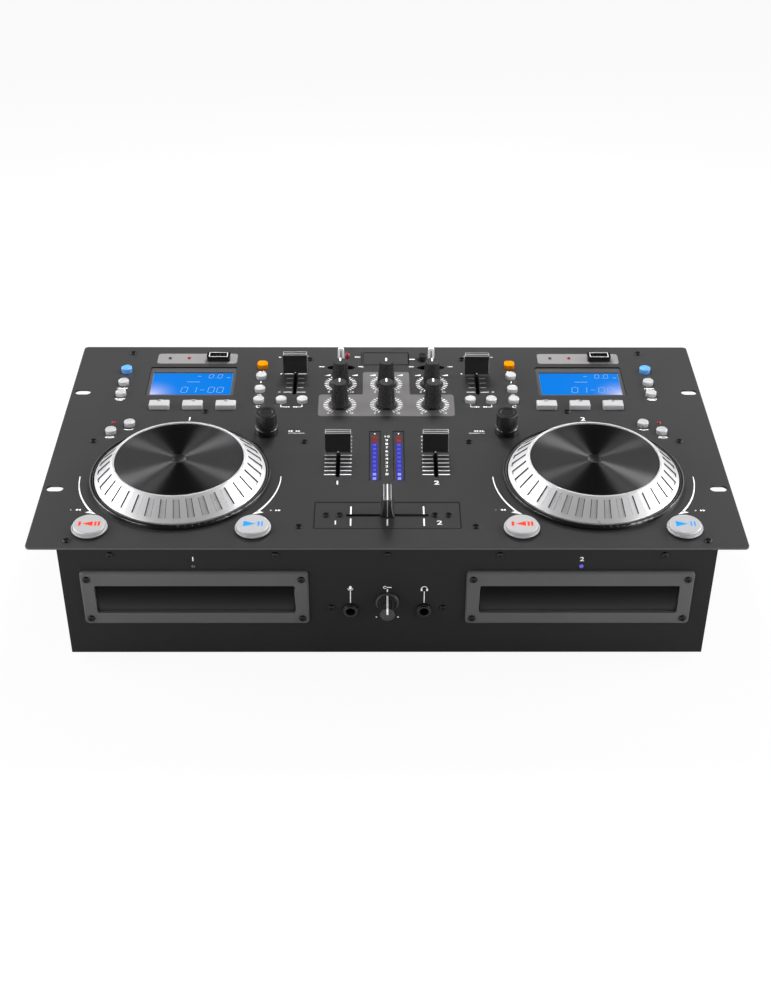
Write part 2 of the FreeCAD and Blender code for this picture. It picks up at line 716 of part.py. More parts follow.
def top_panel():
    plate = rounded_block(0, 0, PANEL_WIDTH, PANEL_DEPTH, PANEL_UNDER, 0, PANEL_CORNER_R)
    tools = []
    for sx in (-1, 1):
        for sy in (-1, 1):
            tools.append(through(obround, sx * RACK_PITCH_X / 2, sy * RACK_PITCH_Y / 2,
                                 RACK_SLOT_LENGTH, RACK_SLOT_WIDTH))
    for side in SIDES.values():
        tools += deck_cutters(side)
    tools += mixer_cutters()
    tools += [through(post, SCREW_HOLE_R, x, y) for x, y in panel_screw_places()]
    tools.append(cover_outline())
    return plate.cut(Part.makeCompound(tools))


# ------------------------------------------------------------------ case
def case_tub():
    """Bottom and both sides, folded from one sheet, with flanges under the top panel."""
    front = FRONT_BACK_FACE
    back = REAR_INNER_FACE
    parts = [block(-CASE_HALF, CASE_HALF, front, back, CASE_BOTTOM, CASE_BOTTOM + SHEET)]
    for side in SIDES.values():
        outer = side * CASE_HALF
        inner = side * (CASE_HALF - SHEET)
        edge = side * (CASE_HALF - FLANGE_WIDTH)
        parts.append(block(min(outer, inner), max(outer, inner), front, back, CASE_BOTTOM, PANEL_UNDER))
        parts.append(block(min(outer, edge), max(outer, edge), front, back, PANEL_UNDER - SHEET, PANEL_UNDER))
    tub = fuse(parts)
    tools = [post(SCREW_HOLE_R, side * x, y, PANEL_UNDER - SHEET - 1, PANEL_UNDER + 1)
             for x, y in FLANGE_SCREWS[:2] for side in (-1, 1)]
    for y, z in side_screw_places():
        tools.append(Part.makeCylinder(SCREW_HOLE_R, CASE_WIDTH + 2, Vector(-CASE_HALF - 1, y, z), Vector(1, 0, 0)))
    for index in range(VENT_COUNT):
        y = (index - (VENT_COUNT - 1) / 2) * VENT_PITCH
        tools.append(obround(0, y, VENT_LENGTH * 2, VENT_WIDTH, CASE_BOTTOM - 1, CASE_BOTTOM + SHEET + 1))
    return tub.cut(Part.makeCompound(tools))


def screw_tabs(y0, y1):
    """Tabs inside the side walls that the side screws hold."""
    tabs = []
    for side in SIDES.values():
        outer = side * (CASE_HALF - SHEET)
        inner = side * (CASE_HALF - 2 * SHEET)
        tabs.append(block(min(outer, inner), max(outer, inner), y0, y1,
                          CASE_BOTTOM + TAB_MARGIN, PANEL_UNDER - TAB_MARGIN))
    return tabs


def side_screw_tools(y):
    return [Part.makeCylinder(SCREW_HOLE_R, CASE_WIDTH + 2, Vector(-CASE_HALF - 1, y, -drop), Vector(1, 0, 0))
            for drop in SIDE_SCREW_DROPS]


def front_panel():
    plate = block(-CASE_HALF, CASE_HALF, CASE_FRONT, FRONT_BACK_FACE, CASE_BOTTOM, PANEL_UNDER)
    flange_half = CASE_HALF - FLANGE_WIDTH - SHEET_GAP
    flange = block(-flange_half, flange_half, FRONT_BACK_FACE, FRONT_BACK_FACE + FRONT_FLANGE_DEPTH,
                   PANEL_UNDER - SHEET, PANEL_UNDER)
    panel = fuse([plate, flange] + screw_tabs(FRONT_BACK_FACE, FRONT_BACK_FACE + TAB_DEPTH))
    low = CASE_FRONT - 1
    high = FRONT_BACK_FACE + 1
    tools = side_screw_tools(CASE_FRONT + SIDE_SCREW_SETBACK)
    for side in SIDES.values():
        opening = facing_front(rounded_block(0, 0, MOUTH_WIDTH + 2 * MOUTH_MARGIN, MOUTH_HEIGHT + 2 * MOUTH_MARGIN,
                                             -high, -low, MOUTH_CORNER_R))
        tools.append(moved(opening, side * DRIVE_X, 0, DRIVE_Z))
        tools.append(rod_y(JACK_COLLAR_R, side * JACK_X, -JACK_DROP, low, high))
        tools.append(rod_y(LAMP_R, side * FRONT_LAMP_X, -FRONT_LAMP_DROP, low, high))
    tools.append(rod_y(BUSH_R + HOLE_GAP, 0, -CUE_KNOB_DROP, low, high))
    tools += [rod_y(SCREW_HOLE_R, x, z, low, high) for x, z, face in front_screw_places()]
    return panel.cut(Part.makeCompound(tools))


def rear_panel():
    plate = block(-CASE_HALF, CASE_HALF, REAR_INNER_FACE, CASE_BACK, CASE_BOTTOM, PANEL_UNDER)
    parts = [plate] + screw_tabs(REAR_INNER_FACE - TAB_DEPTH, REAR_INNER_FACE)
    tab_x = CASE_HALF - FLANGE_WIDTH - SHEET_GAP
    for side in SIDES.values():
        ends = sorted((side * tab_x, side * (tab_x - REAR_TAB_LENGTH)))
        parts.append(block(ends[0], ends[1], REAR_INNER_FACE - FLANGE_WIDTH, REAR_INNER_FACE,
                           PANEL_UNDER - SHEET, PANEL_UNDER))
    panel = fuse(parts)
    low = REAR_INNER_FACE - 1
    high = CASE_BACK + 1
    tools = side_screw_tools(CASE_BACK - SIDE_SCREW_SETBACK)
    x, y = FLANGE_SCREWS[2]
    tools += [post(SCREW_HOLE_R, side * x, y, PANEL_UNDER - SHEET - 1, PANEL_UNDER + 1) for side in (-1, 1)]
    tools += [rod_y(PHONO_SLEEVE_R + HOLE_GAP, px, -drop, low, high) for px in PHONO_COLUMNS for drop in PHONO_DROPS]
    tools.append(block(INLET_X - INLET_WIDTH / 2, INLET_X + INLET_WIDTH / 2, low, high,
                       -INLET_DROP - INLET_HEIGHT / 2, -INLET_DROP + INLET_HEIGHT / 2))
    frame_w, frame_h = rocker_frame_size()
    tools.append(block(SWITCH_X - frame_w / 2, SWITCH_X + frame_w / 2, low, high,
                       -INLET_DROP - frame_h / 2, -INLET_DROP + frame_h / 2))
    for index in range(VENT_COUNT):
        x = (index - (VENT_COUNT - 1) / 2) * VENT_PITCH + VENT_LENGTH
        tools.append(block(x - VENT_WIDTH / 2, x + VENT_WIDTH / 2, low, high,
                           -INLET_DROP - VENT_LENGTH / 2, -INLET_DROP + VENT_LENGTH / 2))
    return panel.cut(Part.makeCompound(tools))


def feet():
    foot = lathe([(0, 0), (FOOT_R * 0.86, 0, 0.8), (FOOT_R, FOOT_HEIGHT), (0, FOOT_HEIGHT)])
    base = CASE_BOTTOM - FOOT_HEIGHT
    return Part.makeCompound([moved(foot, sx * FOOT_X, sy * FOOT_Y, base) for sx in (-1, 1) for sy in (-1, 1)])


# ------------------------------------------------------------------ jog wheels
def jog_base_ring(side):
    """Black dish on the panel with a raised rim and the bearing boss."""
    rim_in = JOG_SKIRT_R + BASE_RING_GAP
    bore = JOG_SHAFT_R + RUNNING_FIT
    rim_round = min(BASE_RIM_EDGE_R, BASE_RIM_WIDTH * 0.45)
    profile = [(bore, -BASE_BOSS_DROP), (BASE_BOSS_R, -BASE_BOSS_DROP), (BASE_BOSS_R, 0), (BASE_RING_R, 0),
               (BASE_RING_R, BASE_RING_HEIGHT, rim_round), (rim_in, BASE_RING_HEIGHT, rim_round),
               (rim_in, BASE_RING_FLOOR), (BASE_BOSS_R, BASE_RING_FLOOR),
               (BASE_BOSS_R - 1, BASE_BOSS_RISE), (bore, BASE_BOSS_RISE)]
    return lathe(profile, side * JOG_X, JOG_Y)


def disc_seat():
    return JOG_HEIGHT - JOG_DISC_SINK - JOG_DISC_THICKNESS


def pocket_cutter():
    """Tool for one of the pockets that leave raised finger pads on the sloping skirt."""
    foot = Vector(JOG_SKIRT_R, 0, JOG_FLOOR + JOG_LIP_HEIGHT)
    head = Vector(JOG_TOP_R, 0, JOG_HEIGHT - JOG_SHOULDER_DROP)
    along = (head - foot).normalize()
    out = Vector(along.z, 0, -along.x)
    wires = []
    for place in (foot + along * POCKET_OUTER_MARGIN, head - along * POCKET_INNER_MARGIN):
        half = Vector(0, math.pi * place.x / PAD_COUNT * POCKET_SHARE, 0)
        bevel = half + Vector(0, PAD_BEVEL, 0)
        deep = place - out * PAD_HEIGHT
        step = place - out * PAD_BEVEL
        clear = place + out * PAD_BEVEL
        wide = bevel + Vector(0, PAD_BEVEL, 0)
        wires.append(Part.makePolygon([deep - half, deep + half, step + half, clear + wide, clear - wide,
                                       step - half, deep - half]))
    return Part.makeLoft(wires, True, True)


def jog_ring(side):
    """Finger ring with its web, hub and shaft, and the code wheel clipped on the shaft."""
    shoulder = JOG_HEIGHT - JOG_SHOULDER_DROP
    seat = disc_seat()
    rim = JOG_DISC_R + JOG_SEAT_GAP
    hub_bottom = BASE_BOSS_RISE + JOG_SEAT_GAP
    web = seat - JOG_WALL * 0.6
    profile = [(0, seat), (rim, seat), (rim, JOG_HEIGHT, 0.4), (JOG_TOP_R - JOG_SHOULDER_DROP, JOG_HEIGHT, 0.8),
               (JOG_TOP_R, shoulder), (JOG_SKIRT_R, JOG_FLOOR + JOG_LIP_HEIGHT, 0.5), (JOG_SKIRT_R, JOG_FLOOR),
               (JOG_SKIRT_R - JOG_WALL, JOG_FLOOR), (JOG_SKIRT_R - JOG_WALL, JOG_FLOOR + JOG_LIP_HEIGHT * 0.5),
               (JOG_TOP_R - JOG_WALL * 1.2, web), (JOG_HUB_R, web), (JOG_HUB_R, hub_bottom),
               (JOG_SHAFT_R, hub_bottom), (JOG_SHAFT_R, -JOG_SHAFT_DROP), (0, -JOG_SHAFT_DROP)]
    ring = lathe(profile)
    pocket = pocket_cutter()
    ring = ring.cut(Part.makeCompound([turned(pocket, POCKET_PHASE + 360 * i / PAD_COUNT)
                                       for i in range(PAD_COUNT)]))
    wheel = lathe([(JOG_SHAFT_R, -CODE_WHEEL_DROP), (CODE_WHEEL_R, -CODE_WHEEL_DROP),
                   (CODE_WHEEL_R, CODE_WHEEL_THICKNESS - CODE_WHEEL_DROP),
                   (JOG_SHAFT_R, CODE_WHEEL_THICKNESS - CODE_WHEEL_DROP)])
    notch = block(CODE_WHEEL_R - CODE_SLOT_LENGTH - 1, CODE_WHEEL_R - 1, -CODE_SLOT_WIDTH / 2, CODE_SLOT_WIDTH / 2,
                  -CODE_WHEEL_DROP - 1, CODE_WHEEL_THICKNESS - CODE_WHEEL_DROP + 1)
    wheel = wheel.cut(Part.makeCompound([turned(notch, 360 * i / CODE_SLOTS) for i in range(CODE_SLOTS)]))
    return moved(Part.makeCompound([ring, wheel]), side * JOG_X, JOG_Y)


def jog_disc(side):
    seat = disc_seat()
    top = seat + JOG_DISC_THICKNESS
    profile = [(0, seat), (JOG_DISC_R, seat), (JOG_DISC_R, top, 0.5), (JOG_DIMPLE_R, top),
               (JOG_DIMPLE_R - 0.8, top - JOG_DIMPLE_DEPTH), (0, top - JOG_DIMPLE_DEPTH)]
    return lathe(profile, side * JOG_X, JOG_Y)


# ------------------------------------------------------------------ push keys
def key_body(shape, x, y, flange):
    """Cap with the flange that keeps it under the panel and the stem to its switch."""
    stem = post(KEY_STEM_R, x, y, STEM_BOTTOM, KEY_FLANGE_BOTTOM)
    return [shape, flange, stem]


def round_cap(x, y, radius, bottom, height):
    """Cap with a rounded edge and a shallow dish in its top."""
    edge = min(KEY_EDGE_R, radius * (1 - CAP_DISH_SHARE) * 0.8)
    cap = lathe([(0, bottom), (radius, bottom), (radius, height, edge), (0, height)], x, y)
    reach = radius * CAP_DISH_SHARE
    ball = (reach ** 2 + CAP_DISH_DEPTH ** 2) / (2 * CAP_DISH_DEPTH)
    return cap.cut(Part.makeSphere(ball, Vector(x, y, height - CAP_DISH_DEPTH + ball)))


def round_key(x, y, radius, height):
    cap = round_cap(x, y, radius, KEY_FLANGE_TOP, height)
    flange = post(radius + KEY_FLANGE, x, y, KEY_FLANGE_BOTTOM, KEY_FLANGE_TOP)
    return key_body(cap, x, y, flange)


def box_key(x, y, width, depth, height, corner_r):
    cap = rounded_block(x, y, width, depth, KEY_FLANGE_TOP, height, corner_r)
    top_edges = [e for e in cap.Edges if all(abs(v.Z - height) < 1e-6 for v in e.Vertexes)]
    cap = cap.makeFillet(min(KEY_EDGE_R, corner_r) * 0.9, top_edges)
    flange = rounded_block(x, y, width + 2 * KEY_FLANGE, depth + 2 * KEY_FLANGE,
                           KEY_FLANGE_BOTTOM, KEY_FLANGE_TOP, corner_r)
    return key_body(cap, x, y, flange)


def runner(start, end):
    """Bar under the panel that joins the caps of one moulded strip."""
    dx = end[0] - start[0]
    dy = end[1] - start[1]
    length = math.hypot(dx, dy)
    bar = block(0, length, -RUNNER_WIDTH / 2, RUNNER_WIDTH / 2, KEY_FLANGE_BOTTOM, KEY_FLANGE_TOP)
    return moved(turned(bar, math.degrees(math.atan2(dy, dx))), start[0], start[1])


def key_strip(places, maker):
    parts = []
    for x, y in places:
        parts += maker(x, y)
    parts += [runner(places[i], places[i + 1]) for i in range(len(places) - 1)]
    return fuse(parts)


def silver_key(x, y):
    return round_key(x, y, ROUND_CAP_R, ROUND_CAP_HEIGHT)


def loop_key(x, y):
    return box_key(x, y, LOOP_CAP_WIDTH, LOOP_CAP_DEPTH, LOOP_CAP_HEIGHT, LOOP_CAP_CORNER_R)


def bend_rocker(side):
    """Two caps on one rocking bar, with a round rib under the bar that it tips on."""
    places = [(side * x, BEND_Y) for x in BEND_X]
    top = KEY_FLANGE_TOP - BEND_FLANGE_DROP
    bottom = top - KEY_FLANGE_THICKNESS
    parts = []
    for x, y in places:
        parts.append(round_cap(x, y, ROUND_CAP_R, top, ROUND_CAP_HEIGHT))
        parts.append(post(ROUND_CAP_R + KEY_FLANGE, x, y, bottom, top))
        parts.append(post(KEY_STEM_R, x, y, STEM_BOTTOM, bottom))
    middle = bend_middle(side)
    ends = sorted(x for x, y in places)
    parts.append(block(ends[0], ends[1], BEND_Y - RUNNER_WIDTH / 2, BEND_Y + RUNNER_WIDTH / 2, bottom, top))
    parts.append(rod_y(KEY_FLANGE, middle, bottom, BEND_Y - RUNNER_WIDTH / 2, BEND_Y + RUNNER_WIDTH / 2))
    return fuse(parts)


def bend_middle(side):
    return side * sum(BEND_X) / 2


def big_button(x):
    """Two-step round button of the cue and play keys."""
    top_r = BIG_CAP_R - BIG_CAP_STEP_R
    profile = [(0, STEM_BOTTOM), (BIG_STEM_R * 0.4, STEM_BOTTOM), (BIG_STEM_R * 0.4, KEY_FLANGE_BOTTOM),
               (BIG_STEM_R, KEY_FLANGE_BOTTOM), (BIG_STEM_R, BIG_CAP_LIFT), (BIG_CAP_R, BIG_CAP_LIFT),
               (BIG_CAP_R, BIG_CAP_STEP_HEIGHT, 0.4), (top_r, BIG_CAP_STEP_HEIGHT),
               (top_r, BIG_CAP_HEIGHT, BIG_CAP_EDGE_R), (0, BIG_CAP_HEIGHT)]
    return lathe(profile, x, BIG_Y)


# ------------------------------------------------------------------ knobs, levers and faders
def knob(height):
    """Fluted rotary knob drawn on z = 0 with its shaft below."""
    low = KNOB_LIFT + KNOB_FOOT_HEIGHT
    top = KNOB_LIFT + height
    profile = [(0, -SHAFT_DROP), (SHAFT_R, -SHAFT_DROP), (SHAFT_R, KNOB_LIFT), (KNOB_FOOT_R, KNOB_LIFT),
               (KNOB_FOOT_R, low, 0.4), (KNOB_BODY_R, low + 0.5), (KNOB_TOP_R, top, KNOB_EDGE_R), (0, top)]
    body = lathe(profile)
    lean = math.degrees(math.atan2(KNOB_BODY_R - KNOB_TOP_R, top - low))
    flute = Part.makeCylinder(KNOB_FLUTE_R, height * 2, Vector(KNOB_BODY_R, 0, low + 1.5))
    flute = turned(flute, -lean, Vector(0, 1, 0), Vector(KNOB_BODY_R, 0, low))
    return body.cut(Part.makeCompound([turned(flute, 360 * (i + 0.5) / KNOB_FLUTES) for i in range(KNOB_FLUTES)]))


def select_knob(side):
    low = KNOB_LIFT + ENCODER_FOOT_HEIGHT
    top = KNOB_LIFT + ENCODER_HEIGHT
    profile = [(0, -SHAFT_DROP), (SHAFT_R, -SHAFT_DROP), (SHAFT_R, KNOB_LIFT), (ENCODER_FOOT_R, KNOB_LIFT),
               (ENCODER_FOOT_R, low - 0.8, ENCODER_FOOT_ROUND), (ENCODER_WAIST_R, low),
               (ENCODER_R, low + 1.2),
               (ENCODER_R, top, 0.7), (ENCODER_DISH_R, top, 0.3), (ENCODER_DISH_R - 1, top - ENCODER_DISH_DEPTH),
               (0, top - ENCODER_DISH_DEPTH)]
    body = lathe(profile)
    groove = post(KNOB_FLUTE_R, ENCODER_R + KNOB_FLUTE_R * 0.4, 0, low + 1.6, top - 1.6)
    body = body.cut(Part.makeCompound([turned(groove, 360 * i / ENCODER_RIBS) for i in range(ENCODER_RIBS)]))
    return moved(body, side * ENCODER_PLACE[0], ENCODER_PLACE[1])


def front_cue_knob():
    return moved(facing_front(knob(FRONT_KNOB_HEIGHT)), 0, CASE_FRONT, -CUE_KNOB_DROP)


def source_lever(side):
    """Flat chrome lever on a ball with a pivot pin, standing through the oval hole."""
    tip = LEVER_TIP_WIDTH / 2
    root = LEVER_ROOT_WIDTH / 2
    pivot = -LEVER_PIVOT_DROP
    outline = [(-root, pivot), (root, pivot), (root, 0, LEVER_BEND_R), (tip, LEVER_HEIGHT * 0.35, LEVER_BEND_R),
               (tip, LEVER_HEIGHT, tip * 0.95), (-tip, LEVER_HEIGHT, tip * 0.95),
               (-tip, LEVER_HEIGHT * 0.35, LEVER_BEND_R), (-root, 0, LEVER_BEND_R)]
    blade = prism(outline, -LEVER_THICKNESS / 2, LEVER_THICKNESS / 2)
    blade = turned(blade, 90, Vector(1, 0, 0))
    flank = rounded_block(0, 0, LEVER_TIP_WIDTH, LEVER_THICKNESS, pivot, LEVER_HEIGHT, LEVER_EDGE_R)
    ball = Part.makeSphere(LEVER_BALL_R, Vector(0, 0, pivot))
    reach = LEVER_BALL_R + LEVER_PIN_REACH
    pin = rod_y(LEVER_PIN_R, 0, pivot, -reach, reach)
    return moved(fuse([blade.common(flank), ball, pin]), side * LEVER_X, LEVER_Y)


def fader_cap():
    """Cap with hollowed flanks, its long side along X, and the metal lever below it."""
    top = CAP_LIFT + CAP_HEIGHT
    waist = CAP_LIFT + CAP_HEIGHT * CAP_WAIST_SHARE
    right = Part.Arc(Vector(CAP_BASE_HALF, CAP_LIFT + CAP_FOOT, 0), Vector(CAP_WAIST_HALF, waist, 0),
                     Vector(CAP_TOP_HALF, top, 0)).toShape()
    left = Part.Arc(Vector(-CAP_TOP_HALF, top, 0), Vector(-CAP_WAIST_HALF, waist, 0),
                    Vector(-CAP_BASE_HALF, CAP_LIFT + CAP_FOOT, 0)).toShape()

    def line(u0, v0, u1, v1):
        return Part.LineSegment(Vector(u0, v0, 0), Vector(u1, v1, 0)).toShape()

    edges = [line(-CAP_BASE_HALF, CAP_LIFT, CAP_BASE_HALF, CAP_LIFT),
             line(CAP_BASE_HALF, CAP_LIFT, CAP_BASE_HALF, CAP_LIFT + CAP_FOOT), right,
             line(CAP_TOP_HALF, top, -CAP_TOP_HALF, top), left,
             line(-CAP_BASE_HALF, CAP_LIFT + CAP_FOOT, -CAP_BASE_HALF, CAP_LIFT)]
    body = Part.Face(Part.Wire(edges)).extrude(Vector(0, 0, CAP_LENGTH))
    body = turned(turned(moved(body, 0, 0, -CAP_LENGTH / 2), 90, Vector(1, 0, 0)), 90)
    grooves = []
    for sign in (-1, 1):
        centre = sign * (CAP_RIB_WIDTH / 2 + CAP_GROOVE_HALF)
        grooves.append(block(-CAP_LENGTH, CAP_LENGTH, centre - CAP_GROOVE_HALF, centre + CAP_GROOVE_HALF,
                             top - CAP_RIB_GROOVE, top + 1))
    body = body.cut(Part.makeCompound(grooves))
    blade = centred_block(0, 0, LEVER_BLADE_THICKNESS, LEVER_BLADE_WIDTH, -LEVER_BLADE_DROP, CAP_LIFT + CAP_FOOT)
    return fuse([body, blade])


def pitch_fader(name, side):
    return moved(fader_cap(), side * PITCH_X, PITCH_CENTRE_Y + PITCH_REST[name])


def channel_fader(side):
    return moved(fader_cap(), side * CHANNEL_X, CHANNEL_REST_Y)


def crossfader():
    return moved(turned(fader_cap(), 90), 0, CROSS_Y)


def crossfader_plate():
    """Plate flush in the top panel, with lips that hold it from below."""
    flush = rounded_block(0, CROSS_Y, CROSS_PLATE_WIDTH, CROSS_PLATE_DEPTH, PANEL_UNDER, 0, 0.8)
    lips = centred_block(0, CROSS_Y, CROSS_PLATE_WIDTH + 2 * CROSS_LIP, CROSS_PLATE_DEPTH,
                         PANEL_UNDER - CROSS_LIP_THICKNESS, PANEL_UNDER)
    x, y, length = cross_slot()
    tools = [obround(x, y, length, SLOT_WIDTH, PANEL_UNDER - CROSS_LIP_THICKNESS - 1, 1)]
    tools += [post(SCREW_HOLE_R, side * sx, CROSS_Y, PANEL_UNDER - CROSS_LIP_THICKNESS - 1, 1)
              for sx in CROSS_SCREW_X for side in (-1, 1)]
    return fuse([flush, lips]).cut(Part.makeCompound(tools))


# ------------------------------------------------------------------ displays, lamps, ports
def display_module(side):
    """Display in its frame, with the glass sunk below the frame's face."""
    x = side * DISPLAY_X
    frame = rounded_block(x, DISPLAY_Y, DISPLAY_WIDTH - 2 * DISPLAY_GAP, DISPLAY_DEPTH - 2 * DISPLAY_GAP,
                          -DISPLAY_SINK - DISPLAY_THICKNESS, -DISPLAY_SINK, DISPLAY_CORNER_R)
    window = centred_block(x, DISPLAY_Y + GLASS_OFFSET_Y, GLASS_WIDTH, GLASS_DEPTH,
                           -DISPLAY_SINK - GLASS_SINK, 1)
    return frame.cut(window)


def usb_socket(side):
    """Port that faces up inside a raised collar."""
    x = PORT_X + strip_offset(side)
    collar = rounded_block(x, PORT_Y, PORT_COLLAR_WIDTH, PORT_COLLAR_DEPTH, -PORT_SINK, PORT_COLLAR_HEIGHT,
                           PORT_CORNER_R)
    port = centred_block(x, PORT_Y, PORT_WIDTH, PORT_DEPTH, PORT_COLLAR_HEIGHT - PORT_SINK, PORT_COLLAR_HEIGHT + 1)
    tongue_y = PORT_Y + PORT_DEPTH / 2 - PORT_TONGUE / 2 - PORT_TONGUE_INSET
    tongue = centred_block(x, tongue_y, PORT_WIDTH - 2 * PORT_TONGUE_INSET, PORT_TONGUE,
                           PORT_COLLAR_HEIGHT - PORT_SINK, PORT_COLLAR_HEIGHT - PORT_TONGUE_INSET)
    return fuse([collar.cut(port), tongue])


def lamp(radius, rise):
    """Small lamp with a domed end, drawn on z = 0."""
    return lathe([(0, -LAMP_BODY), (radius, -LAMP_BODY), (radius, rise, min(radius, rise) * 0.9), (0, rise)])


def status_lamps():
    small = lamp(LAMP_R, LAMP_RISE)
    forward = facing_front(small)
    placed = []
    for side in SIDES.values():
        shift = strip_offset(side)
        placed += [moved(small, x + shift, STRIP_LAMP_Y) for x in STRIP_LAMPS_X]
        placed.append(moved(small, side * DECK_LED[0], DECK_LED[1]))
        placed.append(moved(forward, side * FRONT_LAMP_X, CASE_FRONT, -FRONT_LAMP_DROP))
    placed.append(moved(lamp(DOME_R, DOME_RISE), *DOME_PLACE))
    return Part.makeCompound(placed)


def level_meter(side):
    width = METER_WIDTH - 2 * METER_GAP
    depth = METER_BACK - METER_FRONT - 2 * METER_GAP
    return rounded_block(side * METER_X, (METER_FRONT + METER_BACK) / 2, width, depth,
                         -METER_SINK - METER_THICKNESS, -METER_SINK, METER_CORNER_R)


# ------------------------------------------------------------------ disc drives
def drive_bezel(side):
    """Frame round the tray's mouth with a bevelled outer edge."""
    outer = rounded_block(0, 0, BEZEL_WIDTH, BEZEL_HEIGHT, 0, BEZEL_THICKNESS, BEZEL_CORNER_R)
    front_edges = [e for e in outer.Edges if all(abs(v.Z - BEZEL_THICKNESS) < 1e-6 for v in e.Vertexes)]
    outer = outer.makeChamfer(BEZEL_EDGE, front_edges)
    outer = moved(outer, 0, BEZEL_OFFSET_Z)
    mouth = rounded_block(0, 0, MOUTH_WIDTH, MOUTH_HEIGHT, -1, BEZEL_THICKNESS + 1, MOUTH_CORNER_R)
    frame = moved(facing_front(outer.cut(mouth)), side * DRIVE_X, CASE_FRONT, DRIVE_Z)
    tools = [rod_y(SCREW_HOLE_R, x, z, BEZEL_FACE - 1, CASE_FRONT + 1) for x, z in bezel_screw_places()]
    return frame.cut(Part.makeCompound(tools))


def door_shape(x):
    """Tray door with rounded lower corners and a slightly bulging face."""
    width = MOUTH_WIDTH - 2 * DOOR_GAP
    height = MOUTH_HEIGHT - 2 * DOOR_GAP
    top = DRIVE_Z + height / 2
    bottom = DRIVE_Z - height / 2
    rim = DOOR_FACE + DOOR_BULGE
    section = [Part.LineSegment(Vector(0, rim, top), Vector(0, DOOR_BACK, top)).toShape(),
               Part.LineSegment(Vector(0, DOOR_BACK, top), Vector(0, DOOR_BACK, bottom)).toShape(),
               Part.LineSegment(Vector(0, DOOR_BACK, bottom), Vector(0, rim, bottom)).toShape(),
               Part.Arc(Vector(0, rim, bottom), Vector(0, DOOR_FACE, DRIVE_Z), Vector(0, rim, top)).toShape()]
    door = Part.Face(Part.Wire(section)).extrude(Vector(width, 0, 0))
    door = moved(door, x - width / 2)
    corners = [e for e in door.Edges
               if all(abs(v.Z - bottom) < 1e-6 for v in e.Vertexes)
               and abs(e.Vertexes[0].X - e.Vertexes[-1].X) < 1e-6]
    return door.makeFillet(MOUTH_CORNER_R, corners)


def disc_tray(side):
    """Sliding tray with the recesses of both disc sizes, the pickup slot and the drive rack."""
    x = side * DRIVE_X
    back = DOOR_BACK + TRAY_LENGTH
    slab = rounded_block(x, (DOOR_BACK + back) / 2, TRAY_WIDTH, TRAY_LENGTH, TRAY_BOTTOM, TRAY_TOP, 2.0)
    floor = TRAY_TOP - DISC_RECESS_DEPTH
    inner_floor = floor - SMALL_RECESS_DEPTH
    tools = [post(RECESS_R, x, DISC_Y, floor, TRAY_TOP + 1),
             post(SMALL_DISC_R, x, DISC_Y, inner_floor, TRAY_TOP + 1)]
    tools.append(obround(x, DISC_Y + PICKUP_SLOT_LENGTH / 2 - PICKUP_SLOT_WIDTH / 2, PICKUP_SLOT_LENGTH,
                         PICKUP_SLOT_WIDTH, TRAY_BOTTOM - 1, TRAY_TOP + 1, along="y"))
    for sign in (-1, 1):
        tools.append(post(FINGER_NOTCH_R, x + sign * (TRAY_WIDTH / 2 - FINGER_NOTCH_R * 0.4),
                          DISC_Y - DISC_R * 0.82, inner_floor - 1, TRAY_TOP + 1))
    # the underside is hollow, so that the tray is a ribbed moulding
    hollow_top = inner_floor - TRAY_WALL
    half = TRAY_WIDTH / 2 - TRAY_WALL
    slot_half = PICKUP_SLOT_WIDTH / 2 + TRAY_WALL
    for sign in (-1, 1):
        ends = sorted((x + sign * (half - RACK_WIDTH), x + sign * slot_half))
        tools.append(block(ends[0], ends[1], DOOR_BACK + TRAY_WALL, back - TRAY_WALL, TRAY_BOTTOM - 1, hollow_top))
    tray = fuse([slab.cut(Part.makeCompound(tools)), door_shape(x)])
    teeth = []
    rack_x = x + half - RACK_WIDTH
    start = DOOR_BACK + TRAY_WALL * 3
    for index in range(RACK_TEETH):
        y = start + index * RACK_TOOTH_PITCH
        gap = Part.makePolygon([Vector(rack_x, y, TRAY_BOTTOM), Vector(rack_x, y + RACK_TOOTH_PITCH * 0.3,
                                TRAY_BOTTOM + RACK_TOOTH_DEPTH),
                                Vector(rack_x, y + RACK_TOOTH_PITCH * 0.6, TRAY_BOTTOM), Vector(rack_x, y, TRAY_BOTTOM)])
        teeth.append(Part.Face(gap).extrude(Vector(RACK_WIDTH, 0, 0)))
    return tray.cut(Part.makeCompound(teeth))


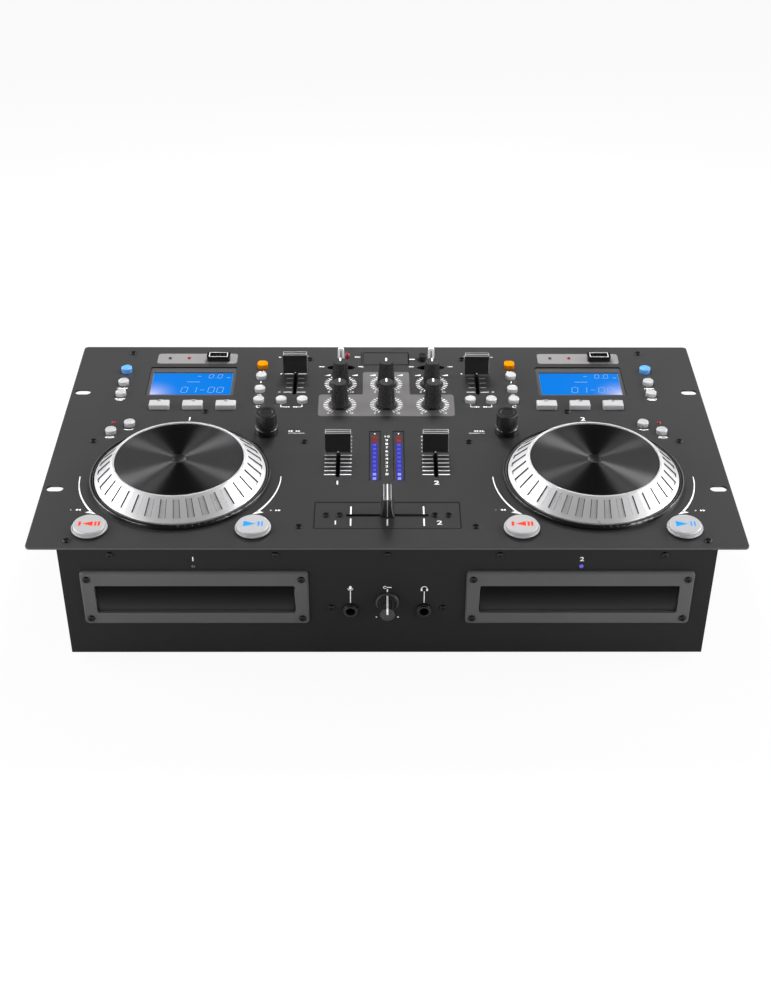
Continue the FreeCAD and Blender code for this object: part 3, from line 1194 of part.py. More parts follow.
def cd_drive(side):
    """Drive housing with the tray's rails, the spindle and the two brackets below."""
    x = side * DRIVE_X
    low = DRIVE_Z - DRIVE_HEIGHT / 2
    high = DRIVE_Z + DRIVE_HEIGHT / 2
    front = FRONT_BACK_FACE
    back = front + DRIVE_LENGTH
    half = DRIVE_WIDTH / 2
    wall = DRIVE_WALL
    shell = block(x - half, x + half, front, back, low, high)
    room = block(x - half + wall, x + half - wall, front + wall, back - wall, low + wall, high - wall)
    mouth_w = MOUTH_WIDTH / 2 + MOUTH_MARGIN
    mouth_h = MOUTH_HEIGHT / 2 + MOUTH_MARGIN
    mouth = block(x - mouth_w, x + mouth_w, front - 1, front + wall + 1, DRIVE_Z - mouth_h, DRIVE_Z + mouth_h)
    parts = [shell.cut(room).cut(mouth)]
    under = TRAY_BOTTOM - TRAY_UNDER_GAP
    over = TRAY_TOP + TRAY_OVER_GAP
    lane = TRAY_WIDTH / 2 + TRAY_SIDE_GAP
    rail_end = DOOR_BACK + TRAY_LENGTH + TRAY_WALL
    rail_start = front + wall + DOOR_GAP
    for sign in (-1, 1):
        wall_x = x + sign * (half - wall)
        lane_x = x + sign * lane
        lip_x = x + sign * (lane - RAIL_OVERLAP)
        for edge, z0, z1 in ((lip_x, under - RAIL_THICKNESS, under), (lane_x, under, over),
                             (lip_x, over, over + RAIL_THICKNESS)):
            parts.append(block(min(edge, wall_x), max(edge, wall_x), rail_start, rail_end, z0, z1))
        parts.append(drive_bracket(x + sign * half, -sign, front + DRIVE_BRACKET, back - DRIVE_BRACKET, low))
    nose_top = TRAY_BOTTOM - SPINDLE_GAP
    spindle = lathe([(0, low + wall), (SPINDLE_R, low + wall), (SPINDLE_R, nose_top - SPINDLE_NOSE),
                     (SPINDLE_NOSE_R, nose_top - SPINDLE_NOSE), (SPINDLE_NOSE_R, nose_top, 0.6), (0, nose_top)],
                    x, DISC_Y)
    return fuse(parts + [spindle])


def drive_bracket(x, inward, front, back, top):
    """Folded channel that carries one side of a drive above the case bottom."""
    floor = CASE_BOTTOM + SHEET
    web = sorted((x, x + inward * BRACKET_SHEET))
    flange = sorted((x, x + inward * DRIVE_BRACKET))
    return fuse([block(web[0], web[1], front, back, floor, top),
                 block(flange[0], flange[1], front, back, floor, floor + BRACKET_SHEET),
                 block(flange[0], flange[1], front, back, top - BRACKET_SHEET, top)])


# ------------------------------------------------------------------ boards inside
def switch_under(x, y):
    return centred_block(x, y, SWITCH_SIZE, SWITCH_SIZE, BOARD_TOP, SWITCH_TOP)


def pot_under(x, y):
    """Rotary part on its board, with the bush that the shaft turns in."""
    top = BOARD_TOP + POT_HEIGHT
    body = fuse([centred_block(x, y, POT_SIZE, POT_SIZE, BOARD_TOP, top), post(BUSH_R, x, y, top, BUSH_RISE)])
    return body.cut(post(SHAFT_R + RUNNING_FIT, x, y, -SHAFT_DROP - KEY_STOP_GAP, BUSH_RISE + 1))


def slide_pot(x, y, length, top, along="y"):
    """Slide potentiometer under a slot, open along its top for the lever."""
    body_long = length + 2 * SLIDE_POT_END
    size = (SLIDE_POT_WIDTH, body_long) if along == "y" else (body_long, SLIDE_POT_WIDTH)
    groove_width = LEVER_BLADE_THICKNESS + 2 * SLIDE_POT_GAP
    groove = (groove_width, length) if along == "y" else (length, groove_width)
    body = centred_block(x, y, size[0], size[1], top - SLIDE_POT_HEIGHT, top)
    cavity = centred_block(x, y, groove[0], groove[1], -LEVER_BLADE_DROP - SLIDE_POT_GAP, top + 1)
    return body.cut(cavity)


def deck_board(name, side):
    inner, outer = DECK_BOARD_X
    ends = sorted((side * inner, side * outer))
    plate = block(ends[0], ends[1], BOARD_Y[0], BOARD_Y[1], BOARD_UNDER, BOARD_TOP)
    parts = [plate]
    for x, y in round_key_places(side) + loop_key_places(side):
        parts.append(switch_under(x, y))
    parts += [switch_under(side * x, BEND_Y) for x in BEND_X]
    parts.append(switch_under(side * KEY_OUTER_X, EJECT_Y))
    parts.append(switch_under(side * KEY_INNER_X, PITCH_BUTTON_Y))
    parts += [switch_under(side * x, BIG_Y) for x in (BIG_OUTER_X, BIG_INNER_X)]
    parts.append(pot_under(side * ENCODER_PLACE[0], ENCODER_PLACE[1]))
    return fuse(parts)


def mixer_board():
    plate = block(-MIXER_BOARD_HALF, MIXER_BOARD_HALF, BOARD_Y[0], BOARD_Y[1], BOARD_UNDER, BOARD_TOP)
    parts = [plate]
    parts += [pot_under(x, y) for x, y in knob_places()]
    parts.append(switch_under(*BUTTON_PLACE))
    return fuse(parts)


def lever_switch(side):
    """Switch body with a socket round the lever's ball."""
    pivot = -LEVER_PIVOT_DROP
    body = centred_block(side * LEVER_X, LEVER_Y, LEVER_SWITCH_WIDTH, LEVER_SWITCH_DEPTH,
                         BOARD_UNDER - LEVER_SWITCH_HEIGHT, pivot + LEVER_BALL_R)
    room = centred_block(side * LEVER_X, LEVER_Y, LEVER_SWITCH_WIDTH - 2, LEVER_BALL_R * 2 + 2 * HOLE_GAP,
                         pivot - LEVER_BALL_R - HOLE_GAP, pivot + LEVER_BALL_R + 1)
    return body.cut(room)


def circuit_boards():
    parts = [deck_board(name, side) for name, side in SIDES.items()]
    room = [centred_block(side * LEVER_X, LEVER_Y, LEVER_SWITCH_WIDTH + 2 * HOLE_GAP,
                          LEVER_SWITCH_DEPTH + 2 * HOLE_GAP, BOARD_UNDER - 1, BOARD_TOP + 1)
            for side in SIDES.values()]
    parts.append(mixer_board().cut(Part.makeCompound(room)))
    for side in SIDES.values():
        parts.append(lever_switch(side))
        parts.append(slide_pot(*pitch_slot(side), PANEL_UNDER))
        parts.append(slide_pot(*channel_slot(side), PANEL_UNDER))
    parts.append(slide_pot(*cross_slot(), PANEL_UNDER - CROSS_LIP_THICKNESS, along="x"))
    for x, y in PILLAR_SCREWS:
        for side in SIDES.values():
            pillar = post(PILLAR_R, side * x, y, BOARD_TOP, PANEL_UNDER)
            parts.append(pillar.cut(post(SCREW_SHANK_R + RUNNING_FIT, side * x, y, BOARD_TOP - 1, 1)))
    parts += [front_board(), power_board()]
    return Part.makeCompound(parts)


def front_board():
    """Upright board behind the front panel with the cue knob's rotary part."""
    face = CASE_FRONT - BOARD_TOP
    plate = block(-FRONT_BOARD_HALF, FRONT_BOARD_HALF, face, face + BOARD_THICKNESS,
                  -JACK_DROP - FRONT_BOARD_BELOW, -CUE_KNOB_DROP + FRONT_BOARD_ABOVE)
    size = JACK_BODY_SIZE / 2 + HOLE_GAP
    tools = [block(side * JACK_X - size, side * JACK_X + size, face - 1, face + BOARD_THICKNESS + 1,
                   -JACK_DROP - size, -JACK_DROP + size) for side in SIDES.values()]
    pot = moved(facing_front(pot_under(0, 0)), 0, CASE_FRONT, -CUE_KNOB_DROP)
    return fuse([plate.cut(Part.makeCompound(tools)), pot])


def power_board():
    """Supply board on its pillars at the right rear, with transformer and capacitors."""
    x0, x1, y0, y1 = POWER_BOARD
    low = CASE_BOTTOM + SHEET
    base = low + POWER_BOARD_LIFT
    top = base + BOARD_THICKNESS
    parts = [block(x0, x1, y0, y1, base, top)]
    inset = PILLAR_R * 2
    for x in (x0 + inset, x1 - inset):
        for y in (y0 + inset, y1 - inset):
            parts.append(post(PILLAR_R, x, y, low, base))
    wide, deep, tall = TRANSFORMER
    coil_x = x0 + inset * 2 + wide / 2
    coil_y = y0 + inset * 2 + deep / 2
    parts.append(centred_block(coil_x, coil_y, wide, deep * 0.6, top, top + tall))
    parts.append(centred_block(coil_x, coil_y, wide * 0.6, deep, top, top + tall * 0.75))
    for index in range(2):
        cap_x = x1 - inset * 2 - CAPACITOR_R - index * CAPACITOR_R * 2.4
        parts.append(lathe([(0, top), (CAPACITOR_R, top), (CAPACITOR_R, top + CAPACITOR_HEIGHT, 0.8),
                            (0, top + CAPACITOR_HEIGHT)], cap_x, y0 + inset * 2 + CAPACITOR_R))
    return fuse(parts)


# ------------------------------------------------------------------ sockets
def front_jack():
    """Panel jack for a 6.3 mm plug, drawn with the panel's face on z = 0."""
    profile = [(JACK_BORE_R, -JACK_BORE_LENGTH), (JACK_COLLAR_R - HOLE_GAP, -JACK_BORE_LENGTH),
               (JACK_COLLAR_R - HOLE_GAP, 0), (JACK_NUT_R, 0), (JACK_NUT_R, JACK_NUT_THICKNESS, 0.4),
               (JACK_COLLAR_R, JACK_NUT_THICKNESS), (JACK_COLLAR_R, JACK_COLLAR_LENGTH, 0.4),
               (JACK_BORE_R, JACK_COLLAR_LENGTH)]
    collar = lathe(profile)
    body = centred_block(0, 0, JACK_BODY_SIZE, JACK_BODY_SIZE, -FRONT_THICKNESS - JACK_BODY_LENGTH, -FRONT_THICKNESS)
    bore = post(JACK_BORE_R, 0, 0, -JACK_BORE_LENGTH, 1)
    return fuse([collar, body.cut(bore)])


def front_jacks():
    jack = facing_front(front_jack())
    return Part.makeCompound([moved(jack, side * JACK_X, CASE_FRONT, -JACK_DROP) for side in (-1, 1)])


def phono_socket():
    """Phono socket drawn with the panel's outer face on z = 0."""
    profile = [(PHONO_BORE_R, -PHONO_BODY_LENGTH * 0.5), (PHONO_SLEEVE_R, -PHONO_BODY_LENGTH * 0.5),
               (PHONO_SLEEVE_R, PHONO_SLEEVE_LENGTH, 0.4), (PHONO_BORE_R, PHONO_SLEEVE_LENGTH)]
    sleeve = lathe(profile)
    plate = centred_block(0, 0, PHONO_PLATE, PHONO_PLATE, 0, PHONO_PLATE_THICKNESS)
    body = centred_block(0, 0, PHONO_PLATE, PHONO_PLATE, -SHEET - PHONO_BODY_LENGTH, -SHEET)
    bore = post(PHONO_BORE_R, 0, 0, -PHONO_BODY_LENGTH * 0.5, PHONO_SLEEVE_LENGTH + 1)
    return fuse([sleeve, plate, body]).cut(bore)


def rear_sockets():
    socket = facing_back(phono_socket())
    return Part.makeCompound([moved(socket, x, CASE_BACK, -drop) for x in PHONO_COLUMNS for drop in PHONO_DROPS])


def rocker_frame_size():
    rim = 2 * (ROCKER_GAP + ROCKER_WALL)
    return ROCKER_WIDTH + rim, ROCKER_HEIGHT + rim


def mains_inlet():
    """Three-pin appliance inlet and the frame of the power switch beside it."""
    half_w = INLET_WIDTH / 2
    half_h = INLET_HEIGHT / 2
    inner = REAR_INNER_FACE - INLET_DEPTH
    outer = CASE_BACK + INLET_FLANGE_THICKNESS
    z = -INLET_DROP
    shell = block(INLET_X - half_w, INLET_X + half_w, inner, outer, z - half_h, z + half_h)
    flange = block(INLET_X - half_w - INLET_FLANGE, INLET_X + half_w + INLET_FLANGE, CASE_BACK, outer,
                   z - half_h - INLET_FLANGE / 2, z + half_h + INLET_FLANGE / 2)
    floor = outer - INLET_CAVITY_DEPTH
    cavity = block(INLET_X - half_w + INLET_WALL, INLET_X + half_w - INLET_WALL, floor, outer + 1,
                   z - half_h + INLET_WALL, z + half_h - INLET_WALL)
    parts = [fuse([shell, flange]).cut(cavity)]
    for dx, dz in ((-PIN_PITCH, -PIN_OFFSET), (PIN_PITCH, -PIN_OFFSET), (0, PIN_OFFSET)):
        parts.append(block(INLET_X + dx - PIN_WIDTH / 2, INLET_X + dx + PIN_WIDTH / 2, floor - 1, outer - PIN_SINK,
                           z + dz - PIN_HEIGHT / 2, z + dz + PIN_HEIGHT / 2))
    frame_w, frame_h = rocker_frame_size()
    frame = block(SWITCH_X - frame_w / 2, SWITCH_X + frame_w / 2, CASE_BACK - ROCKER_DEPTH * 2,
                  CASE_BACK + SHEET, z - frame_h / 2, z + frame_h / 2)
    rim = block(SWITCH_X - frame_w / 2 - ROCKER_WALL, SWITCH_X + frame_w / 2 + ROCKER_WALL, CASE_BACK,
                CASE_BACK + SHEET, z - frame_h / 2 - ROCKER_WALL, z + frame_h / 2 + ROCKER_WALL)
    room_w = ROCKER_WIDTH + 2 * ROCKER_GAP
    room_h = ROCKER_HEIGHT + 2 * ROCKER_GAP
    room = block(SWITCH_X - room_w / 2, SWITCH_X + room_w / 2, CASE_BACK - ROCKER_DEPTH, CASE_BACK + SHEET + 1,
                 z - room_h / 2, z + room_h / 2)
    return Part.makeCompound([fuse(parts), fuse([frame, rim]).cut(room)])


def power_rocker():
    """Paddle of the power switch, resting with its lower end pressed in."""
    radius = ROCKER_HEIGHT / 2
    pivot = Vector(SWITCH_X, CASE_BACK - ROCKER_PIVOT_DEPTH, -INLET_DROP)
    drum = Part.makeCylinder(radius, ROCKER_WIDTH, Vector(-ROCKER_WIDTH / 2, 0, 0), Vector(1, 0, 0))
    slab = block(-ROCKER_WIDTH, ROCKER_WIDTH, -ROCKER_PIVOT_DEPTH, ROCKER_PIVOT_DEPTH + ROCKER_OUT, -radius, radius)
    face = ROCKER_PIVOT_DEPTH + ROCKER_OUT
    hollow = Part.makeCylinder(ROCKER_FACE_R, ROCKER_WIDTH * 2,
                               Vector(-ROCKER_WIDTH, face + ROCKER_FACE_R - ROCKER_HOLLOW, 0), Vector(1, 0, 0))
    paddle = drum.common(slab).cut(hollow)
    paddle = turned(paddle, -ROCKER_ANGLE, Vector(1, 0, 0))
    return moved(paddle, pivot.x, pivot.y, pivot.z)


# ------------------------------------------------------------------ output
def pair(maker):
    return Part.makeCompound([maker(side) for side in SIDES.values()])


def deck_nodes(name, side):
    cue_x, play_x = (-BIG_OUTER_X, -BIG_INNER_X) if side < 0 else (BIG_INNER_X, BIG_OUTER_X)
    nodes = {
        "jog_ring": jog_ring(side),
        "jog_disc": jog_disc(side),
        "cue_button": big_button(cue_x),
        "play_button": big_button(play_x),
        "eject_button": fuse(round_key(side * KEY_OUTER_X, EJECT_Y, EJECT_CAP_R, EJECT_CAP_HEIGHT)),
        "program_keys": key_strip([(side * KEY_OUTER_X, y) for y in PROGRAM_Y], silver_key),
        "loop_keys": key_strip(loop_key_places(side), loop_key),
        "mode_keys": key_strip([(side * x, y) for x, y in MODE_KEYS], silver_key),
        "pitch_button": fuse(box_key(side * KEY_INNER_X, PITCH_BUTTON_Y, SQUARE_CAP_SIZE, SQUARE_CAP_SIZE,
                                     SQUARE_CAP_HEIGHT, SQUARE_CAP_CORNER_R)),
        "track_keys": key_strip([(side * KEY_INNER_X, y) for y in TRACK_Y], silver_key),
        "bend_keys": bend_rocker(side),
        "pitch_fader": pitch_fader(name, side),
        "select_knob": select_knob(side),
        "disc_tray": disc_tray(side),
    }
    return {key + "_" + name: shape for key, shape in nodes.items()}


def mixer_nodes():
    rotary = knob(KNOB_HEIGHT)
    nodes = {}
    for row, y in (("level", KNOB_UPPER_Y), ("tone", KNOB_LOWER_Y)):
        for place, x in zip(("left", "centre", "right"), KNOB_X):
            nodes[row + "_knob_" + place] = moved(rotary, x, y)
    for name, side in SIDES.items():
        nodes["source_lever_" + name] = source_lever(side)
        nodes["channel_fader_" + name] = channel_fader(side)
    nodes["crossfader_cap"] = crossfader()
    nodes["cue_knob"] = front_cue_knob()
    nodes["talkover_button"] = fuse(round_key(BUTTON_PLACE[0], BUTTON_PLACE[1], BUTTON_R, BUTTON_HEIGHT))
    nodes["power_rocker"] = power_rocker()
    return nodes


def fixed_nodes():
    return {
        "top_panel": top_panel(),
        "chassis_tub": case_tub(),
        "front_panel": front_panel(),
        "rear_panel": rear_panel(),
        "drive_bezels": pair(drive_bezel),
        "cd_drives": pair(cd_drive),
        "circuit_boards": circuit_boards(),
        "display_modules": pair(display_module),
        "usb_sockets": pair(usb_socket),
        "jog_base_rings": pair(jog_base_ring),
        "crossfader_plate": crossfader_plate(),
        "level_meters": pair(level_meter),
        "status_lamps": status_lamps(),
        "case_screws": case_screws(),
        "front_jacks": front_jacks(),
        "rear_sockets": rear_sockets(),
        "mains_inlet": mains_inlet(),
        "feet": feet(),
    }


def export(nodes):
    os.makedirs("parts", exist_ok=True)
    for name, shape in nodes.items():
        moved(shape, 0, SHIFT_Y, PANEL_TOP_Z).exportStep("parts/" + name + ".step")


def main():
    nodes = fixed_nodes()
    nodes.update(mixer_nodes())
    for name, side in SIDES.items():
        nodes.update(deck_nodes(name, side))
    export(nodes)


main()
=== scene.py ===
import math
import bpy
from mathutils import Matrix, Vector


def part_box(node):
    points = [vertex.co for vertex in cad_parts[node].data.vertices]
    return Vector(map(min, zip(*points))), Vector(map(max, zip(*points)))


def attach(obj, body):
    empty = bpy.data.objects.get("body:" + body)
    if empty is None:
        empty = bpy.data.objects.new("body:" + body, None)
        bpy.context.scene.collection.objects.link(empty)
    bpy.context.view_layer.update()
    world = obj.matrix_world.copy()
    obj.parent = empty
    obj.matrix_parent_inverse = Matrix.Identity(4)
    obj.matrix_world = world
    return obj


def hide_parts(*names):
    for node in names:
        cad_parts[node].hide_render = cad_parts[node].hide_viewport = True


bl_info = {
    "name": "Dual Disc Console",
    "version": (1, 0, 0),
    "blender": (4, 5, 0),
    "location": "3D View > Sidebar > Console",
    "description": "Finishes, printing, displays and studio for a rack-width dual disc player and mixer",
    "category": "Object",
}

import bmesh
import bpy
from bpy.props import FloatProperty, FloatVectorProperty, IntProperty, PointerProperty
from bpy.types import Operator, Panel, PropertyGroup
from mathutils import Matrix, Vector

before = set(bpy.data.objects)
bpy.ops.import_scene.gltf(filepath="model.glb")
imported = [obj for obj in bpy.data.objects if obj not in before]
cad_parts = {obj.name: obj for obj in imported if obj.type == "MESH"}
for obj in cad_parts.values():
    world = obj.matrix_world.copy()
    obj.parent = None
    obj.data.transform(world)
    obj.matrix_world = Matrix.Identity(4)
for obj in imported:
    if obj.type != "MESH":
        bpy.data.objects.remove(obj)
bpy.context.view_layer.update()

# ------------------------------------------------------------------ places Places are in
# millimetres: x and y about the middle of the top panel, heights from its upper face.
PANEL_LOW_M, PANEL_HIGH_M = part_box("top_panel")
MIDDLE_Y_M = (PANEL_LOW_M.y + PANEL_HIGH_M.y) / 2
PANEL_Z_M = PANEL_HIGH_M.z
FRONT_SHEET_M = 0.0015
FRONT_Y_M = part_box("chassis_tub")[0].y - FRONT_SHEET_M
DECKS = {"a": -1, "b": 1}
NUMBERS = {-1: "1", 1: "2"}
INK_LIFT = 0.04


def spot(node):
    """Middle of a node, and its height: x, y and top."""
    low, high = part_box(node)
    return (low.x + high.x) * 500, ((low.y + high.y) / 2 - MIDDLE_Y_M) * 1000, (high.z - PANEL_Z_M) * 1000


def on_top(x, y, lift=0.0):
    """Point over the top panel, in metres."""
    return Vector((x / 1000, MIDDLE_Y_M + y / 1000, PANEL_Z_M + lift / 1000))


def on_front(x, z, out=0.0):
    """Point before the front of the case, in metres."""
    return Vector((x / 1000, FRONT_Y_M - out / 1000, PANEL_Z_M + z / 1000))


KNOBS = {name: spot(name) for name in [row + "_knob_" + place for row in ("level", "tone")
                                       for place in ("left", "centre", "right")]}
KNOB_X = KNOBS["level_knob_right"][0]
JOG_X, JOG_Y, _ = spot("jog_ring_b")
PITCH_X = spot("pitch_fader_b")[0]
PITCH_SCALE_Y = (118.4, 91.2, 64.1)
CHANNEL_X = spot("channel_fader_b")[0]
CAP_LENGTH = (CHANNEL_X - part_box("channel_fader_b")[0].x * 1000) * 2
LOOP_STEP = 25.1
DISPLAY_X, GLASS_Y = 150.7, 78.7
GLASS_HALF_X, GLASS_HALF_Y = 31.0, 16.4
METER_X, METER_FACE = 8.85, spot("level_meters")[2]
LAMP_PITCH, FIRST_LAMP_Y = 5.36, -51.6
DARK_LAMPS_M = (-0.1711, 0.1303)
PORT_X, PORT_Y = {"a": -132.5, "b": 168.9}, 114.0
CUE_Z = -48.4
PLATE_Y, PLATE_HALF_X = -96.1, 49.9

# ------------------------------------------------------------------ settings
COLOUR = {"subtype": "COLOR", "size": 3, "min": 0, "max": 1}


class ConsoleFinish(PropertyGroup):
    panel: FloatVectorProperty(name="Panel", description="Powder coat of the top panel",
                               default=(0.026, 0.026, 0.0266), **COLOUR)
    case: FloatVectorProperty(name="Case", description="Paint of the folded case",
                              default=(0.0185, 0.0185, 0.0189), **COLOUR)
    bezel: FloatVectorProperty(name="Bezel", description="Plastic of the drive bezels",
                               default=(0.090, 0.090, 0.091), **COLOUR)
    silver: FloatVectorProperty(name="Silver caps", description="Metallic lacquer of the keys",
                                default=(0.50, 0.50, 0.51), **COLOUR)
    ink: FloatVectorProperty(name="Ink", description="Screen-printed white of the scales",
                             default=(0.93, 0.93, 0.93), **COLOUR)
    strip: FloatVectorProperty(name="Silver print", description="Silver ink of the mixer and port areas",
                               default=(0.33, 0.32, 0.32), **COLOUR)
    backlight: FloatVectorProperty(name="Backlight", description="Colour of the lit displays",
                                   default=(0.003, 0.20, 0.80), **COLOUR)
    eject: FloatVectorProperty(name="Eject key", description="Translucent blue of the eject keys",
                               default=(0.10, 0.31, 0.72), **COLOUR)
    pitch: FloatVectorProperty(name="Pitch key", description="Translucent yellow of the pitch keys",
                               default=(0.60, 0.185, 0.0), **COLOUR)


class ConsolePrint(PropertyGroup):
    tick_width: FloatProperty(name="Tick width", description="Stroke of the scale marks, in millimetres",
                              default=0.55, min=0.2, max=1.5)
    knob_ticks: IntProperty(name="Knob ticks", description="Marks round each rotary knob",
                            default=25, min=3, max=41)
    fader_ticks: IntProperty(name="Fader ticks", description="Marks beside each channel fader",
                             default=11, min=3, max=21)
    pitch_ticks: IntProperty(name="Pitch ticks", description="Marks beside each pitch fader",
                             default=9, min=3, max=21)
    meter_lamps: IntProperty(name="Meter lamps", description="Lamps in each level meter",
                             default=11, min=4, max=20)
    digit_height: FloatProperty(name="Digit height", description="Height of panel numbers, in millimetres",
                                default=4.8, min=1, max=10)


class StudioSettings(PropertyGroup):
    key_power: FloatProperty(name="Key light", description="Power of the light behind the console, in watts",
                             default=8.5, min=0)
    fill_power: FloatProperty(name="Fill lights", description="Power of each side softbox, in watts",
                              default=9.5, min=0)
    edge_power: FloatProperty(name="Edge lights", description="Power of each light near the front, in watts",
                              default=1.7, min=0)
    front_power: FloatProperty(name="Front light", description="Power of the light over the front, in watts",
                               default=5.0, min=0)
    sky: FloatProperty(name="Ambient", description="Strength of the studio's even light", default=0.10, min=0)
    floor_white: FloatProperty(name="Floor white", description="Share of plain white in the floor's look",
                               default=0.93, min=0, max=1, subtype="FACTOR")


# ------------------------------------------------------------------ node helpers
def wire(node, inputs):
    """Link or set a node's inputs."""
    for key, value in inputs.items():
        if hasattr(value, "is_output"):
            node.id_data.links.new(value, node.inputs[key])
        else:
            node.inputs[key].default_value = value
    return node


def add(tree, kind, inputs=None, **settings):
    node = tree.nodes.new(kind)
    for key, value in settings.items():
        setattr(node, key, value)
    return wire(node, inputs or {})


def made(tree, kind, inputs=None, **settings):
    """First output of a new node."""
    return add(tree, kind, inputs, **settings).outputs[0]


def maths(tree, operation, *values):
    return made(tree, "ShaderNodeMath", dict(enumerate(values)), operation=operation)


def spread(tree, source, low, high, to_low, to_high):
    """Map a value from one span to another, held at both ends."""
    return made(tree, "ShaderNodeMapRange", {0: source, 1: low, 2: high, 3: to_low, 4: to_high})


def local(tree):
    """Coordinates of the object itself."""
    return add(tree, "ShaderNodeTexCoord").outputs["Object"]


def grain(tree, scale, detail=4.0):
    return add(tree, "ShaderNodeTexNoise", {"Vector": local(tree), "Scale": scale, "Detail": detail,
                                            "Roughness": 0.6}).outputs["Fac"]


def tinted(tree, factor, dark, light):
    """Blend of two ends, each a colour or an output."""
    ends = [end if hasattr(end, "is_output") else (*end, 1) for end in (dark, light)]
    return add(tree, "ShaderNodeMix", {0: factor, 6: ends[0], 7: ends[1]}, data_type="RGBA").outputs[2]


def scaled(colour, factor):
    return tuple(min(1.0, c * factor) for c in colour)


# ------------------------------------------------------------------ finishes
FINISHES = {}


def new_finish(name):
    """Tree and shader of a new finish."""
    FINISHES[name] = bpy.data.materials.new(name)
    FINISHES[name].use_nodes = True
    tree = FINISHES[name].node_tree
    tree.nodes.clear()
    shader = add(tree, "ShaderNodeBsdfPrincipled")
    add(tree, "ShaderNodeOutputMaterial", {"Surface": shader.outputs["BSDF"]})
    return tree, shader


def painted(name, colour, roughness, texture=2600.0, relief=0.00006, variety=0.10, specular=0.5):
    """Powder coat or moulded plastic: a fine grain in tone, gloss and relief."""
    tree, shader = new_finish(name)
    fine = grain(tree, texture)
    tone = spread(tree, maths(tree, "MULTIPLY", fine, grain(tree, 9.0, 2.0)), 0.12, 0.40, 0, 1)
    wire(shader, {
        "Base Color": tinted(tree, tone, scaled(colour, 1 - variety), scaled(colour, 1 + variety)),
        "Roughness": spread(tree, fine, 0.3, 0.7, roughness - 0.05, roughness + 0.06),
        "Normal": made(tree, "ShaderNodeBump", {"Height": fine, "Strength": 0.35, "Distance": relief}),
        "Specular IOR Level": specular})


def inked(name, colour):
    """Screen print: nearly even in tone and relief."""
    painted(name, colour, 0.5, relief=0.00001, variety=0.03)


def lacquered(name, colour, roughness, metallic, coat=0.0):
    """Metallic lacquer: flakes in tone over a smooth surface."""
    tree, shader = new_finish(name)
    flakes = spread(tree, grain(tree, 5200.0, 2.0), 0.3, 0.7, 0, 1)
    wire(shader, {
        "Base Color": tinted(tree, flakes, scaled(colour, 0.93), scaled(colour, 1.05)),
        "Roughness": spread(tree, grain(tree, 60.0), 0.3, 0.7, roughness - 0.03, roughness + 0.04),
        "Metallic": metallic, "Coat Weight": coat, "Coat Roughness": 0.08})


def glossy(name, colour, roughness, coat=0.0, specular=0.5):
    """Polished plastic with the faint smears of handling."""
    tree, shader = new_finish(name)
    smears = grain(tree, 34.0, 5.0)
    wire(shader, {
        "Base Color": tinted(tree, smears, scaled(colour, 0.9), scaled(colour, 1.12)),
        "Roughness": spread(tree, smears, 0.35, 0.7, roughness, roughness * 1.8),
        "Coat Weight": coat, "Specular IOR Level": specular})


def glowing(name, colour, strength):
    """Lit lens, uneven in its grain."""
    tree, shader = new_finish(name)
    wire(shader, {
        "Base Color": (0.02, 0.02, 0.02, 1), "Roughness": 0.25, "Emission Strength": strength,
        "Emission Color": tinted(tree, grain(tree, 900.0, 1.0), scaled(colour, 0.8), colour)})


def turned_metal(name, colour, roughness):
    """Disc face turned on a lathe: its highlights fan out from the middle."""
    tree, shader = new_finish(name)
    wire(shader, {
        "Base Color": tinted(tree, grain(tree, 800.0), scaled(colour, 0.85), scaled(colour, 1.1)),
        "Tangent": made(tree, "ShaderNodeTangent", direction_type="RADIAL", axis="Z"),
        "Metallic": 1.0, "Roughness": roughness, "Anisotropic": 1.0, "Anisotropic Rotation": 0.25})


def backlit(name, colour, edge):
    """Display glass lit from a point at its edge."""
    tree, shader = new_finish(name)
    apart = add(tree, "ShaderNodeVectorMath", {0: local(tree), 1: edge}, operation="DISTANCE")
    distance = apart.outputs["Value"]
    glare = maths(tree, "POWER", spread(tree, distance, 0.0, 0.024, 1.0, 0.0), 2.2)
    field = tinted(tree, spread(tree, distance, 0.0, 0.075, 0.0, 1.0), (0.01, 0.22, 0.84), colour)
    wire(shader, {
        "Base Color": (0.0, 0.02, 0.06, 1), "Roughness": 0.12, "Specular IOR Level": 0.2,
        "Emission Color": tinted(tree, glare, field, (0.78, 0.74, 1.0)), "Emission Strength": 0.88})


def shaded_door(name):
    """Door plastic with painted shade: near black at its top edge under the bezel, lighter towards its foot.
    """
    tree, shader = new_finish(name)
    low, high = [corner.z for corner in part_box("disc_tray_a")]
    height = add(tree, "ShaderNodeSeparateXYZ", {0: local(tree)}).outputs["Z"]
    # painted shade: 0 at the top edge, where the door is darkest, rising to 1 at its foot
    painted_light = maths(tree, "POWER", spread(tree, height, high, low, 0.0, 1.0), 2.0)
    uneven = maths(tree, "MULTIPLY", painted_light, spread(tree, grain(tree, 2600.0), 0.3, 0.7, 0.85, 1.0))
    wire(shader, {
        "Base Color": tinted(tree, uneven, (0.0005, 0.0005, 0.0005), (0.042, 0.042, 0.0425)),
        "Roughness": spread(tree, painted_light, 0.0, 1.0, 0.5, 0.32), "Specular IOR Level": 0.08})


